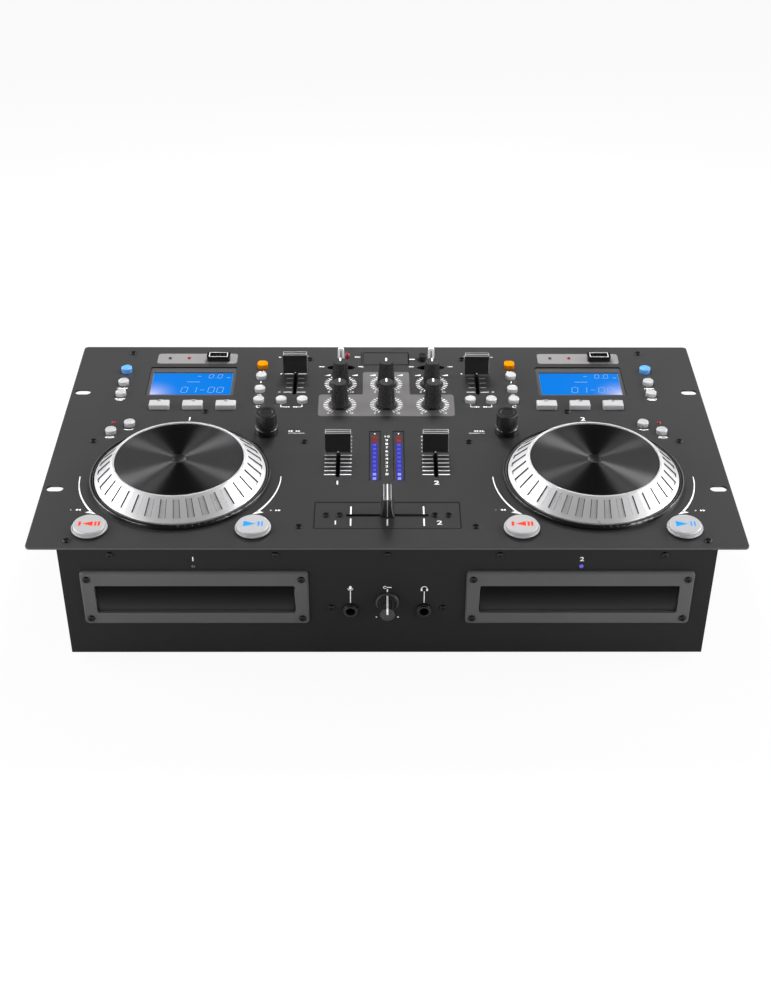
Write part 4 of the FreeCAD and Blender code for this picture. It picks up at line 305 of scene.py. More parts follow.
class CONSOLE_OT_mix_finishes(Operator):
    """Mix every finish of the console from the colours in the settings"""
    bl_idname = "console.mix_finishes"
    bl_label = "Mix finishes"

    def execute(self, context):
        look = context.scene.console_finish
        painted("panel_coat", look.panel, 0.44, specular=0.8)
        painted("case_coat", look.case, 0.50, specular=0.10)
        painted("bezel_plastic", look.bezel, 0.42, specular=0.2)
        painted("tray_plastic", (0.008, 0.008, 0.0085), 0.30, specular=0.45)
        painted("knob_rubber", (0.034, 0.034, 0.035), 0.28, texture=1500.0)
        painted("encoder_rubber", (0.013, 0.013, 0.0135), 0.34, texture=1500.0)
        painted("cap_plastic", (0.010, 0.010, 0.0105), 0.36)
        # painted sheen: the lighter top faces of the fader caps
        painted("cap_crown", (0.075, 0.075, 0.076), 0.36)
        # grey of the fader caps' pointer lines and of their painted edge highlights
        painted("grey_print_and_painted_highlight", (0.34, 0.34, 0.34), 0.35, variety=0.25)
        painted("foot_rubber", (0.016, 0.016, 0.016), 0.8)
        painted("board_green", (0.02, 0.12, 0.05), 0.45)
        painted("board_black", (0.006, 0.006, 0.006), 0.6)
        painted("screw_black", (0.0015, 0.0015, 0.0015), 0.14, specular=0.35)
        painted("gap_black", (0.003, 0.003, 0.003), 0.7)
        painted("frame_grey", (0.060, 0.061, 0.063), 0.35)
        painted("frame_edge", (0.20, 0.22, 0.25), 0.3)
        painted("phono_white", (0.62, 0.62, 0.60), 0.3)
        painted("phono_red", (0.50, 0.012, 0.010), 0.3)
        painted("cue_red", (0.80, 0.045, 0.012), 0.4, variety=0.04)
        painted("play_blue", (0.004, 0.27, 0.80), 0.4, variety=0.04)
        inked("white_ink", look.ink)
        inked("grey_ink", (0.42, 0.42, 0.42))
        inked("dark_ink", (0.02, 0.02, 0.02))
        lacquered("silver_lacquer", look.silver, 0.36, 0.25, 0.2)
        lacquered("jog_lacquer", (0.70, 0.70, 0.71), 0.30, 0.40, 0.15)
        lacquered("hub_metal", (0.10, 0.10, 0.10), 0.25, 0.9)
        lacquered("pad_shadow", (0.016, 0.016, 0.017), 0.35, 0.20)
        lacquered("port_metal", (0.66, 0.65, 0.63), 0.18, 0.3)
        lacquered("lever_chrome", (0.95, 0.95, 0.95), 0.18, 0.05)
        lacquered("drive_steel", (0.52, 0.53, 0.54), 0.35, 1.0)
        lacquered("screw_glint", (0.05, 0.05, 0.052), 0.20, 0.8)
        lacquered("phono_sleeve", (0.56, 0.55, 0.53), 0.25, 0.45)
        lacquered("mixer_ink", scaled(look.strip, 0.56), 0.40, 0.45)
        lacquered("silver_ink", look.strip, 0.38, 0.45)
        glossy("jog_gloss", (0.006, 0.006, 0.0065), 0.10, 0.4)
        # glossy black of the select knobs' feet, and painted shade at the feet of the mixer knobs
        glossy("black_foot_and_painted_shade", (0.006, 0.006, 0.0065), 0.12, 0.4)
        glossy("eject_blue", look.eject, 0.14, 0.6)
        glossy("pitch_yellow", look.pitch, 0.22, 0.0, 0.1)
        glossy("window_black", (0.032, 0.032, 0.033), 0.16)
        glossy("socket_black", (0.008, 0.008, 0.0085), 0.18)
        glossy("lamp_red", (0.26, 0.008, 0.02), 0.12, 0.6)
        glossy("lamp_dark", (0.05, 0.04, 0.055), 0.15, 0.5)
        glowing("lamp_lit", (0.12, 0.10, 0.75), 0.9)
        glowing("segments", (0.22, 0.52, 0.98), 0.95)
        glowing("meter_blue", (0.07, 0.08, 0.85), 0.9)
        glowing("meter_blue_hot", (0.34, 0.36, 1.0), 1.0)
        glowing("meter_glow", (0.02, 0.02, 0.42), 0.9)
        glowing("meter_red", (0.36, 0.012, 0.008), 0.7)
        glowing("meter_ember", (0.22, 0.012, 0.012), 0.7)
        turned_metal("jog_face", (0.11, 0.11, 0.113), 0.50)
        shaded_door("door_black_with_painted_shade")
        for name, side in DECKS.items():
            backlit("backlight_" + name, look.backlight, on_top(side * (DISPLAY_X + 30.0), 63.5, -1.6))
        return {"FINISHED"}


# ------------------------------------------------------------------ mesh helpers
def placed(name, data):
    """New object of the scene."""
    new = bpy.data.objects.new(name, data)
    bpy.context.scene.collection.objects.link(new)
    return new


def mesh_of(name, points, faces):
    mesh = bpy.data.meshes.new(name)
    mesh.from_pydata(points, [], faces)
    return mesh


def baked(holder):
    """Plain mesh of what an object shows with its modifiers."""
    bpy.context.view_layer.update()
    return bpy.data.meshes.new_from_object(holder.evaluated_get(bpy.context.evaluated_depsgraph_get()))


def piece(name, mesh, finish, body):
    """New object in one finish that rides a body."""
    for polygon in mesh.polygons:
        polygon.material_index = 0
    mesh.materials.clear()
    mesh.materials.append(FINISHES[finish])
    new = placed(name, mesh)
    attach(new, body)
    return new


def dress(node, finish, smooth_degrees=None, others=()):
    """Give a solid of the frame its finish, and smooth its shading where its faces are curved.

    Each of the others is a finish and a test of a face's middle and direction. The last that holds wins."""
    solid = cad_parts[node]
    solid.data.materials.clear()
    for name in [finish] + [other for other, test in others]:
        solid.data.materials.append(FINISHES[name])
    for polygon in solid.data.polygons:
        polygon.material_index = 0
        for slot, (other, test) in enumerate(others, 1):
            if test(polygon.center, polygon.normal):
                polygon.material_index = slot
    if smooth_degrees:
        if "custom_normal" in solid.data.attributes:
            solid.data.attributes.remove(solid.data.attributes["custom_normal"])
        for polygon in solid.data.polygons:
            polygon.use_smooth = True
        solid.modifiers.new("weld", "WELD").merge_threshold = 0.000002
        solid.modifiers.new("crease", "EDGE_SPLIT").split_angle = math.radians(smooth_degrees)
        solid.modifiers.new("even", "WEIGHTED_NORMAL").weight = 100
    return solid


def ribbon(name, middle, width, finish, body):
    """Thin strip of a width that runs down a row of points, in metres."""
    half = Vector((width / 2, 0, 0))
    points = [point + shift for point in middle for shift in (-half, half)]
    faces = [(2 * i + 2, 2 * i + 3, 2 * i + 1, 2 * i) for i in range(len(middle) - 1)]
    piece(name, mesh_of(name, points, faces), finish, body)


def polar(x, y, radius, degrees):
    """Point at a distance and a bearing from another."""
    turn = math.radians(degrees)
    return x + radius * math.cos(turn), y + radius * math.sin(turn)


def lathe_mesh(name, profile, centre, steps):
    """Closed body of revolution about a vertical axis, from (radius, height) points in millimetres."""
    work = bmesh.new()
    rings = [[work.verts.new((*polar(0, 0, radius, 360 * i / steps), height))
              for i in range(steps if radius else 1)] for radius, height in profile]
    for low, high in zip(rings, rings[1:]):
        for i in range(steps):
            j = (i + 1) % steps
            corners = (low[i % len(low)], low[j % len(low)], high[j % len(high)], high[i % len(high)])
            work.faces.new(list(dict.fromkeys(corners)))
    bmesh.ops.recalc_face_normals(work, faces=work.faces)
    work.transform(Matrix.Translation(centre) @ Matrix.Scale(0.001, 4))
    mesh = bpy.data.meshes.new(name)
    work.to_mesh(mesh)
    work.free()
    for polygon in mesh.polygons:
        polygon.use_smooth = True
    return mesh


class Ink:
    """Flat printed shapes in millimetres, turned into one thin mesh on a face of the console."""

    def __init__(self):
        self.points = []
        self.faces = []

    def shape(self, outline):
        start = len(self.points)
        self.points += outline
        self.faces.append(list(range(start, start + len(outline))))

    def bar(self, x, y, width, height, degrees=0.0):
        turn = Matrix.Rotation(math.radians(degrees), 2)
        self.shape([Vector((x, y)) + turn @ Vector((u * width / 2, v * height / 2))
                    for u, v in ((-1, -1), (1, -1), (1, 1), (-1, 1))])

    def stroke(self, x0, y0, x1, y1, width):
        self.bar((x0 + x1) / 2, (y0 + y1) / 2, math.hypot(x1 - x0, y1 - y0) + width * 0.2, width,
                 math.degrees(math.atan2(y1 - y0, x1 - x0)))

    def disc(self, x, y, radius, count=10):
        self.shape([polar(x, y, radius, 360 * i / count) for i in range(count)])

    def arc(self, x, y, radius, start, end, width, count=24):
        """Curved stroke between two bearings. A pair of widths makes it taper."""
        first, last = width if isinstance(width, tuple) else (width, width)
        sides = []
        for i in range(count + 1):
            half = (first + (last - first) * i / count) / 2
            bearing = start + (end - start) * i / count
            sides.append([polar(x, y, radius - half, bearing), polar(x, y, radius + half, bearing)])
        for before, after in zip(sides, sides[1:]):
            self.shape(before + after[::-1])

    def rounded(self, x0, x1, y0, y1, radius, count=6):
        outline = []
        for x, y, start in ((x1 - radius, y1 - radius, 0), (x0 + radius, y1 - radius, 90),
                            (x0 + radius, y0 + radius, 180), (x1 - radius, y0 + radius, 270)):
            outline += [polar(x, y, radius, start + 90 * i / count) for i in range(count + 1)]
        self.shape(outline)

    def cornered(self, corners, count=5):
        """Outline with each corner (x, y, radius) rounded."""
        outline = []
        for i, (x, y, radius) in enumerate(corners):
            here = Vector((x, y))
            before = (Vector(corners[i - 1][:2]) - here).normalized() * radius
            after = (Vector(corners[(i + 1) % len(corners)][:2]) - here).normalized() * radius
            shares = [j / count for j in range(count + 1)]
            outline += [here + before * (1 - share) ** 2 + after * share ** 2 for share in shares]
        self.shape(outline)

    def words(self, text, x, y, height, stretch=1.0, bold=0.0):
        """Digits and signs, centred on a point."""
        curve = bpy.data.curves.new("glyphs", "FONT")
        curve.body = text
        curve.align_x = "CENTER"
        curve.align_y = "CENTER"
        curve.size = height * 1.35
        curve.offset = bold
        curve.resolution_u = 3
        holder = placed("glyphs", curve)
        mesh = baked(holder)
        start = len(self.points)
        self.points += [(x + vertex.co.x * stretch, y + vertex.co.y) for vertex in mesh.vertices]
        self.faces += [[start + i for i in polygon.vertices] for polygon in mesh.polygons]
        bpy.data.objects.remove(holder)
        bpy.data.curves.remove(curve)
        bpy.data.meshes.remove(mesh)

    def build(self, name, finish, body="console", place=on_top, lift=INK_LIFT):
        """Piece with every shape so far, each facing away from the console."""
        mesh = mesh_of(name, [place(u, v, lift) for u, v in self.points], self.faces)
        out = place(0, 0, 1) - place(0, 0, 0)
        work = bmesh.new()
        work.from_mesh(mesh)
        for face in work.faces:
            face.normal_update()
            if face.normal.dot(out) < 0:
                face.normal_flip()
        work.to_mesh(mesh)
        work.free()
        return piece(name, mesh, finish, body)


class Signs(Ink):
    """Ink with the generic signs of the keys and sockets."""

    def wind(self, x, y, way, size=1.3):
        """Two arrowheads, one behind the other."""
        for middle in (x - size * 0.75, x + size * 0.75):
            tip, tail = middle + way * size * 0.7, middle - way * size * 0.7
            self.shape([(tip, y), (tail, y + size * 0.8), (tail, y - size * 0.8)])

    def eject(self, x, y):
        self.shape([(x - 1.7, y - 0.3), (x + 1.7, y - 0.3), (x, y + 1.5)])
        self.bar(x, y - 1.0, 3.4, 0.6)

    def lines(self, x, y):
        self.bar(x, y + 0.9, 7.8, 0.85)
        self.bar(x, y - 0.7, 5.2, 0.85)

    def clock(self, x, y):
        self.arc(x, y, 1.4, 0, 360, 0.4, 20)
        self.stroke(x, y, x, y + 1.0, 0.3)
        self.stroke(x, y, x + 0.7, y, 0.3)

    def repeat(self, x, y):
        self.arc(x, y, 1.4, 40, 320, 0.4, 20)
        self.shape([(x + 1.646, y + 0.454), (x + 1.156, y + 1.784), (x + 0.316, y + 0.944)])

    def microphone(self, x, z):
        self.rounded(x - 0.9, x + 0.9, z - 0.6, z + 2.4, 0.85)
        self.arc(x, z + 0.4, 1.7, 180, 360, 0.4, 12)
        self.stroke(x, z - 1.3, x, z - 2.4, 0.4)

    def headphones(self, x, z):
        self.arc(x, z, 1.9, 0, 180, 0.5, 14)
        for side in (-1.9, 1.9):
            self.rounded(x + side - 0.6, x + side + 0.6, z - 2.0, z + 0.2, 0.4)

    def cue(self, x, y):
        self.bar(x - 6.2, y, 1.8, 4.8)
        self.shape([(x - 4.4, y), (x + 2.6, y - 2.7), (x + 2.6, y + 2.7)])
        for shift in (4.4, 6.8):
            self.bar(x + shift, y, 1.5, 4.8)

    def play(self, x, y):
        self.shape([(x - 6.4, y - 3.1), (x + 1.9, y), (x - 6.4, y + 3.1)])
        for shift in (3.9, 6.3):
            self.bar(x + shift, y, 1.1, 5.0)


# ------------------------------------------------------------------ geometry nodes
def start_tree(name, *lengths):
    """Group with a place, a finish, a count and some lengths: the tree and what it is given."""
    tree = bpy.data.node_groups.new(name, "GeometryNodeTree")
    tree.interface.new_socket("Geometry", in_out="OUTPUT", socket_type="NodeSocketGeometry")
    for label, kind in [("Place", "Vector"), ("Finish", "Material"), ("Count", "Int")] + [
            (length, "Float") for length in lengths]:
        tree.interface.new_socket(label, in_out="INPUT", socket_type="NodeSocket" + kind)
    return tree, tree.nodes.new("NodeGroupInput").outputs


def end_tree(tree, given, points, shape):
    """Copy a shape to each point, place it, realize it and give it its finish."""
    copies = made(tree, "GeometryNodeInstanceOnPoints", points | {"Instance": shape})
    place = made(tree, "GeometryNodeTransform", {"Geometry": copies, "Translation": given["Place"]})
    real = made(tree, "GeometryNodeRealizeInstances", {"Geometry": place})
    add(tree, "NodeGroupOutput", {0: made(tree, "GeometryNodeSetMaterial",
                                          {"Geometry": real, "Material": given["Finish"]})})
    return tree


def vector(tree, **parts):
    return made(tree, "ShaderNodeCombineXYZ", parts)


def dash(tree, given):
    """Flat dash of the given length and width."""
    return made(tree, "GeometryNodeMeshGrid", {"Size X": given["Length"], "Size Y": given["Width"],
                                               "Vertices X": 2, "Vertices Y": 2})


def moved(tree, shape, x):
    return made(tree, "GeometryNodeTransform", {"Geometry": shape, "Translation": vector(tree, X=x)})


def tick_row_tree():
    """Scale beside a fader: a row of paired dashes with the slot's gap between them."""
    tree, given = start_tree("tick_row", "Pitch", "Length", "Width", "Gap")
    down = vector(tree, Y=maths(tree, "MULTIPLY", given["Pitch"], -1.0))
    line = made(tree, "GeometryNodeMeshLine", {"Count": given["Count"], "Offset": down})
    spacing = maths(tree, "ADD", given["Length"], given["Gap"])
    pair = add(tree, "GeometryNodeJoinGeometry")
    for sign in (-0.5, 0.5):
        wire(pair, {0: moved(tree, dash(tree, given), maths(tree, "MULTIPLY", spacing, sign))})
    return end_tree(tree, given, {"Points": line}, pair.outputs[0])


def tick_ring_tree():
    """Scale round a knob: dashes that point at its axis."""
    tree, given = start_tree("tick_ring", "Radius", "Length", "Width", "Start", "Step")
    line = made(tree, "GeometryNodeMeshLine", {"Count": given["Count"], "Offset": (0, 0, 0)})
    turn = maths(tree, "MULTIPLY_ADD", made(tree, "GeometryNodeInputIndex"), given["Step"], given["Start"])
    return end_tree(tree, given, {"Points": line, "Rotation": vector(tree, Z=turn)},
                    moved(tree, dash(tree, given), given["Radius"]))


def lamp_column_tree():
    """Column of small lamps."""
    tree, given = start_tree("lamp_column", "Pitch", "Width", "Depth", "Height")
    up = vector(tree, Y=given["Pitch"])
    line = made(tree, "GeometryNodeMeshLine", {"Count": given["Count"], "Offset": up})
    size = vector(tree, X=given["Width"], Y=given["Depth"], Z=given["Height"])
    block = made(tree, "GeometryNodeMeshCube",
                 {"Size": size, "Vertices X": 3, "Vertices Y": 3, "Vertices Z": 2})
    return end_tree(tree, given, {"Points": line}, block)


def grown(name, tree, values, finish):
    """Fixed piece that a tree makes with the given values."""
    holder = placed(name + "_seed", bpy.data.meshes.new(name + "_seed"))
    modifier = holder.modifiers.new("grow", "NODES")
    modifier.node_group = tree
    values = dict(values, Finish=FINISHES[finish])
    for item in tree.interface.items_tree:
        if item.in_out == "INPUT":
            modifier[item.identifier] = values[item.name]
    mesh = baked(holder)
    if not mesh.polygons:
        raise RuntimeError(name + " came out empty")
    mesh.name = name
    bpy.data.objects.remove(holder)
    piece(name, mesh, finish, "console")


# ------------------------------------------------------------------ pieces
class CONSOLE_OT_finish_case(Operator):
    """Paint the panel, the case, the bezels, the screws and what is inside"""
    bl_idname = "console.finish_case"
    bl_label = "Finish case"

    def execute(self, context):
        for node, reach in (("top_panel", 0.230), ("crossfader_plate", 0.048)):
            dress(node, "panel_coat", 30, [("gap_black", lambda face, out: (
                -0.0017 < face.z - PANEL_Z_M < -0.0002 and abs(face.x) < reach
                and abs(face.y - MIDDLE_Y_M) < 0.125))])
        for node in ("chassis_tub", "front_panel", "rear_panel"):
            dress(node, "case_coat", 30)
        dress("drive_bezels", "bezel_plastic", 25)
        dress("cd_drives", "drive_steel", 30)
        boards, front_board = PANEL_Z_M - 0.0118, FRONT_Y_M + 0.010
        dress("circuit_boards", "board_green",
              others=[("board_black", lambda face, out: face.z > boards or face.y < front_board)])
        dress("case_screws", "screw_black", 30,
              [("screw_glint", lambda face, out: face.z > PANEL_Z_M - 0.002)])
        dress("feet", "foot_rubber", 30)
        dress("mains_inlet", "socket_black")
        dress("power_rocker", "cap_plastic", 30)
        self.phono_sockets()
        for name in DECKS:
            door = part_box("disc_tray_" + name)[0].y + 0.003
            # the door's face takes the finish with painted shade at its top
            dress("disc_tray_" + name, "tray_plastic", 30, [("door_black_with_painted_shade", lambda face, out: face.y < door)])
        return {"FINISHED"}

    def phono_sockets(self):
        """Metal sleeves on black plates, with white ends in the upper row and red in the lower."""
        low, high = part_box("rear_sockets")
        middle, plate, tip = (low.z + high.z) / 2, high.y - 0.0073, high.y - 0.0003
        dress("rear_sockets", "socket_black", 30,
              [("phono_sleeve", lambda face, out: face.y > plate),
               ("phono_red", lambda face, out: face.y > tip and out.y > 0.9),
               ("phono_white", lambda face, out: face.y > tip and out.y > 0.9 and face.z > middle)])


class CONSOLE_OT_finish_controls(Operator):
    """Finish the keys, knobs, faders and levers, and mark their caps"""
    bl_idname = "console.finish_controls"
    bl_label = "Finish controls"

    def execute(self, context):
        for name in DECKS:
            for node in ("program_keys", "loop_keys", "mode_keys", "track_keys", "bend_keys", "cue_button",
                         "play_button"):
                dress(node + "_" + name, "silver_lacquer", 35)
            dress("eject_button_" + name, "eject_blue", 35)
            dress("pitch_button_" + name, "pitch_yellow", 35)
            self.knob("select_knob_" + name, "encoder_rubber", 0.0057)
            self.lever(name)
        for name in KNOBS:
            # the black band at the foot of each mixer knob is painted shade
            self.knob(name, "knob_rubber", 0.0017)
        dress("cue_knob", "knob_rubber", 30)
        dress("talkover_button", "cap_plastic", 35)
        self.pointers()
        for kind in ("channel_fader_", "pitch_fader_"):
            for name in DECKS:
                self.fader(kind + name, True)
        self.fader("crossfader_cap", False)
        self.button_signs()
        self.key_signs()
        return {"FINISHED"}

    def knob(self, node, finish, foot):
        """Rubber knob over a glossy black band: the foot of a select knob, painted shade under a mixer knob.
        """
        dress(node, finish, 30, [("black_foot_and_painted_shade", lambda face, out: face.z < PANEL_Z_M + foot)])

    def lever(self, name):
        """Chrome lever with a dark stripe down the near side of its tip, a painted reflection."""
        node = "source_lever_" + name
        solid = dress(node, "lever_chrome", 35)
        low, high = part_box(node)
        middle = (low.x + high.x) / 2
        # dark stripe on the near face: a painted reflection, not a real groove
        painted_reflection = []
        for step in range(9):
            z = high.z - 0.0022 - 0.0012 * step
            hit, point, _, _ = solid.ray_cast((middle, low.y - 0.05, z), (0, 1, 0))
            if not hit:
                raise RuntimeError("no lever face at this height")
            painted_reflection.append(Vector((middle, point.y - 0.00005, z)))
        ribbon("source_lever_groove_" + name, painted_reflection, 0.0008, "dark_ink", node)

    def pointers(self):
        for name, (x, y, top) in KNOBS.items():
            mark = Ink()
            mark.rounded(x - 0.6, x + 0.6, y + 0.2, y + 5.0, 0.4, 3)
            mark.build(name + "_pointer", "white_ink", name, lift=top + 0.03)
        reach = (FRONT_Y_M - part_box("cue_knob")[0].y) * 1000
        mark = Ink()
        mark.bar(0, CUE_Z + 2.6, 1.3, 4.9)
        mark.build("cue_knob_pointer", "white_ink", "cue_knob", place=on_front, lift=reach + 0.03)
        slope = [on_front(0, CUE_Z + z, out)
                 for out, z in ((2.4, 7.01), (reach - 0.6, 5.48), (reach + 0.03, 5.11))]
        ribbon("cue_knob_line", slope, 0.0013, "white_ink", "cue_knob")

    def fader(self, node, along_x):
        """Black cap with a painted sheen on its top, a pointer rib, and painted highlights on its edges and
        flank.
        """
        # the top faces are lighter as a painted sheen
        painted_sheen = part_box(node)[1].z - 0.0006
        dress(node, "cap_plastic", 25, [("cap_crown", lambda face, out: face.z > painted_sheen)])
        x, y, top = spot(node)
        half = CAP_LENGTH / 2 - 0.1
        # bars along the top edges and across the ends are painted highlights; the rib is the pointer line
        painted_highlights, rib = Ink(), Ink()
        for ink, shift, width in ((painted_highlights, -2.5, 0.5), (painted_highlights, 2.5, 0.5), (rib, 0.0, 0.8)):
            if along_x:
                ink.bar(x, y + shift, half * 2, width)
            else:
                ink.bar(x + shift, y, width, half * 2)
        if along_x:
            for end in (-1, 1):
                painted_highlights.bar(x + end * (half - 0.2), y, 0.5, 4.6)
        painted_highlights.build(node + "_edges", "grey_print_and_painted_highlight", node, lift=top + 0.03)
        rib.build(node + "_rib", "grey_print_and_painted_highlight" if along_x else "white_ink", node, lift=top + 0.05)
        # lines down the flank and its corner are painted highlights; on the crossfader the middle line
        # continues its pointer
        end = CAP_LENGTH / 2 + 0.05
        flank = [(side, top - drop) for side, drop in ((2.85, 0.3), (2.9, 4.0), (3.05, 8.3), (3.8, 12.0),
                                                       (4.65, 14.0))]
        if along_x:
            line = [on_top(x + end - 0.175, y - side - 0.08, z) for side, z in flank]
            ribbon(node + "_line", line, 0.00035, "grey_print_and_painted_highlight", node)
            ribbon(node + "_dot", [on_top(x, y - 4.7, z) for z in (5.5, 4.7)], 0.001, "white_ink", node)
        else:
            ribbon(node + "_line", [on_top(x, y - end, z) for _, z in flank], 0.0005, "grey_print_and_painted_highlight", node)
            corner = [on_top(x + side - 0.05, y - end, z) for side, z in flank]
            ribbon(node + "_corner", corner, 0.0004, "grey_print_and_painted_highlight", node)

    def button_signs(self):
        for name in DECKS:
            for kind, draw, finish in (("cue", Signs.cue, "cue_red"), ("play", Signs.play, "play_blue")):
                node = kind + "_button_" + name
                x, y, top = spot(node)
                sign = Signs()
                draw(sign, x, y)
                sign.build(kind + "_button_sign_" + name, finish, node, lift=top + 0.03)

    def key_signs(self):
        """Dark signs on the loop keys: begin, end and repeat."""
        for name in DECKS:
            node = "loop_keys_" + name
            x, _, top = spot(node)
            y = (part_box(node)[1].y - MIDDLE_Y_M) * 1000 - 2.2
            ink = Ink()
            for middle, way in ((x - LOOP_STEP, 1), (x, -1)):
                tail = middle - way * 0.7
                ink.bar(middle - way * 1.4, y, 0.6, 1.8)
                ink.shape([(tail, y + 0.9), (tail, y - 0.9), (middle + way * 1.4, y)])
            last = x + LOOP_STEP
            ink.arc(last, y, 0.95, 40, 330, 0.5, 14)
            ink.shape([(last + 0.2, y + 0.7), (last + 1.6, y + 0.7), (last + 0.9, y - 0.3)])
            ink.build("loop_key_signs_" + name, "dark_ink", node, lift=top + 0.03)


class CONSOLE_OT_finish_jogs(Operator):
    """Finish the jog wheels"""
    bl_idname = "console.finish_jogs"
    bl_label = "Finish jog wheels"

    def execute(self, context):
        dress("jog_base_rings", "jog_gloss", 35)
        for name, side in DECKS.items():
            self.pads(name, on_top(side * JOG_X, JOG_Y).xy)
            self.disc(name)
        return {"FINISHED"}

    def pads(self, name, hub):
        """Silver ring, dark on the walls of its pockets and where the skirt turns inwards."""
        def wall(face, out):
            outwards = (face.xy - hub).normalized()
            return face.z > PANEL_Z_M + 0.002 and (
                abs(outwards.cross(out.xy)) > 0.35
                or outwards.dot(out.xy) < -0.3 and (face.xy - hub).length > 0.0485)
        dress("jog_ring_" + name, "jog_lacquer", 22, [("pad_shadow", wall)])

    def disc(self, name):
        """Turned black disc with a dimple round its hub."""
        node = "jog_disc_" + name
        low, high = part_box(node)
        centre = Vector(((low.x + high.x) / 2, (low.y + high.y) / 2, high.z))
        radius = (high.x - low.x) * 500
        profile = [(0, -0.92), (3.0, -0.9), (4.2, -0.35), (4.7, -0.05), (5.1, 0), (12, 0), (25, 0), (38, 0),
                   (radius - 0.5, 0), (radius - 0.15, -0.15), (radius, -0.5), (radius, -1.5), (0, -1.5)]
        mesh = lathe_mesh("jog_face_" + name, profile, centre, 192)
        face = piece("jog_face_" + name, mesh, "jog_face", "jog_" + name)
        mesh.materials.append(FINISHES["hub_metal"])
        for polygon in mesh.polygons:
            polygon.material_index = int((polygon.center - centre).xy.length < 0.0052)
        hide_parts(node)


SEGMENTS = {"0": "abcdef", "1": "bc", "2": "abged", "3": "abgcd", "4": "fgbc", "5": "afgcd", "6": "afgedc",
            "7": "abc", "8": "abcdefg", "9": "abcdfg", "-": "g"}
SEGMENT_PLACES = {"a": (0.5, 1.0), "g": (0.5, 0.5), "d": (0.5, 0.0), "f": (0.0, 0.75), "b": (1.0, 0.75),
                  "e": (0.0, 0.25), "c": (1.0, 0.25)}


def segment_digits(ink, text, x, y, height, stroke, step=6.9, slant=0.10):
    """Row of slanted seven-segment digits, the first with its lower left corner at a point."""
    width = height * 0.56
    for i, digit in enumerate(text):
        for segment in SEGMENTS[digit]:
            u, v = SEGMENT_PLACES[segment]
            a, b = (width * 0.36, stroke / 2) if segment in "agd" else (stroke / 2, height * 0.19)
            corners = [(u * width + p * a, v * height + q * b)
                       for p, q in ((-1, -1), (1, -1), (1, 1), (-1, 1))]
            ink.shape([(x + i * step + along + slant * up, y + up) for along, up in corners])


class CONSOLE_OT_light_displays(Operator):
    """Fit the displays with lit glass and digits"""
    bl_idname = "console.light_displays"
    bl_label = "Light displays"

    def execute(self, context):
        dress("display_modules", "frame_grey")
        for name, side in DECKS.items():
            x = side * DISPLAY_X
            glass = Ink()
            glass.rounded(x - GLASS_HALF_X, x + GLASS_HALF_X,
                          GLASS_Y - GLASS_HALF_Y, GLASS_Y + GLASS_HALF_Y, 0.6)
            glass.build("display_glass_" + name, "backlight_" + name, lift=-1.76)
            edge = Ink()
            for end in (-1, 1):
                edge.bar(x, GLASS_Y + end * (GLASS_HALF_Y + 0.2), GLASS_HALF_X * 2 + 0.8, 0.7)
                edge.bar(x + end * (GLASS_HALF_X + 0.2), GLASS_Y, 0.7, GLASS_HALF_Y * 2 + 0.2)
            edge.build("display_edge_" + name, "frame_edge", lift=-1.72)
            digits = Ink()
            segment_digits(digits, "00", x + 12.4, 87.6, 5.6, 0.6)
            segment_digits(digits, "01-00", x - 7.6, 66.2, 8.0, 0.65)
            digits.disc(x + 17.9, 87.6, 0.35, 8)
            digits.bar(x + 27.8, 88.4, 2.6, 0.9)
            digits.bar(x + 5.0, 90.4, 2.6, 0.8)
            digits.bar(x + 1.0, 82.0, 10.0, 0.8)
            digits.build("display_digits_" + name, "segments", lift=-1.70)
        return {"FINISHED"}


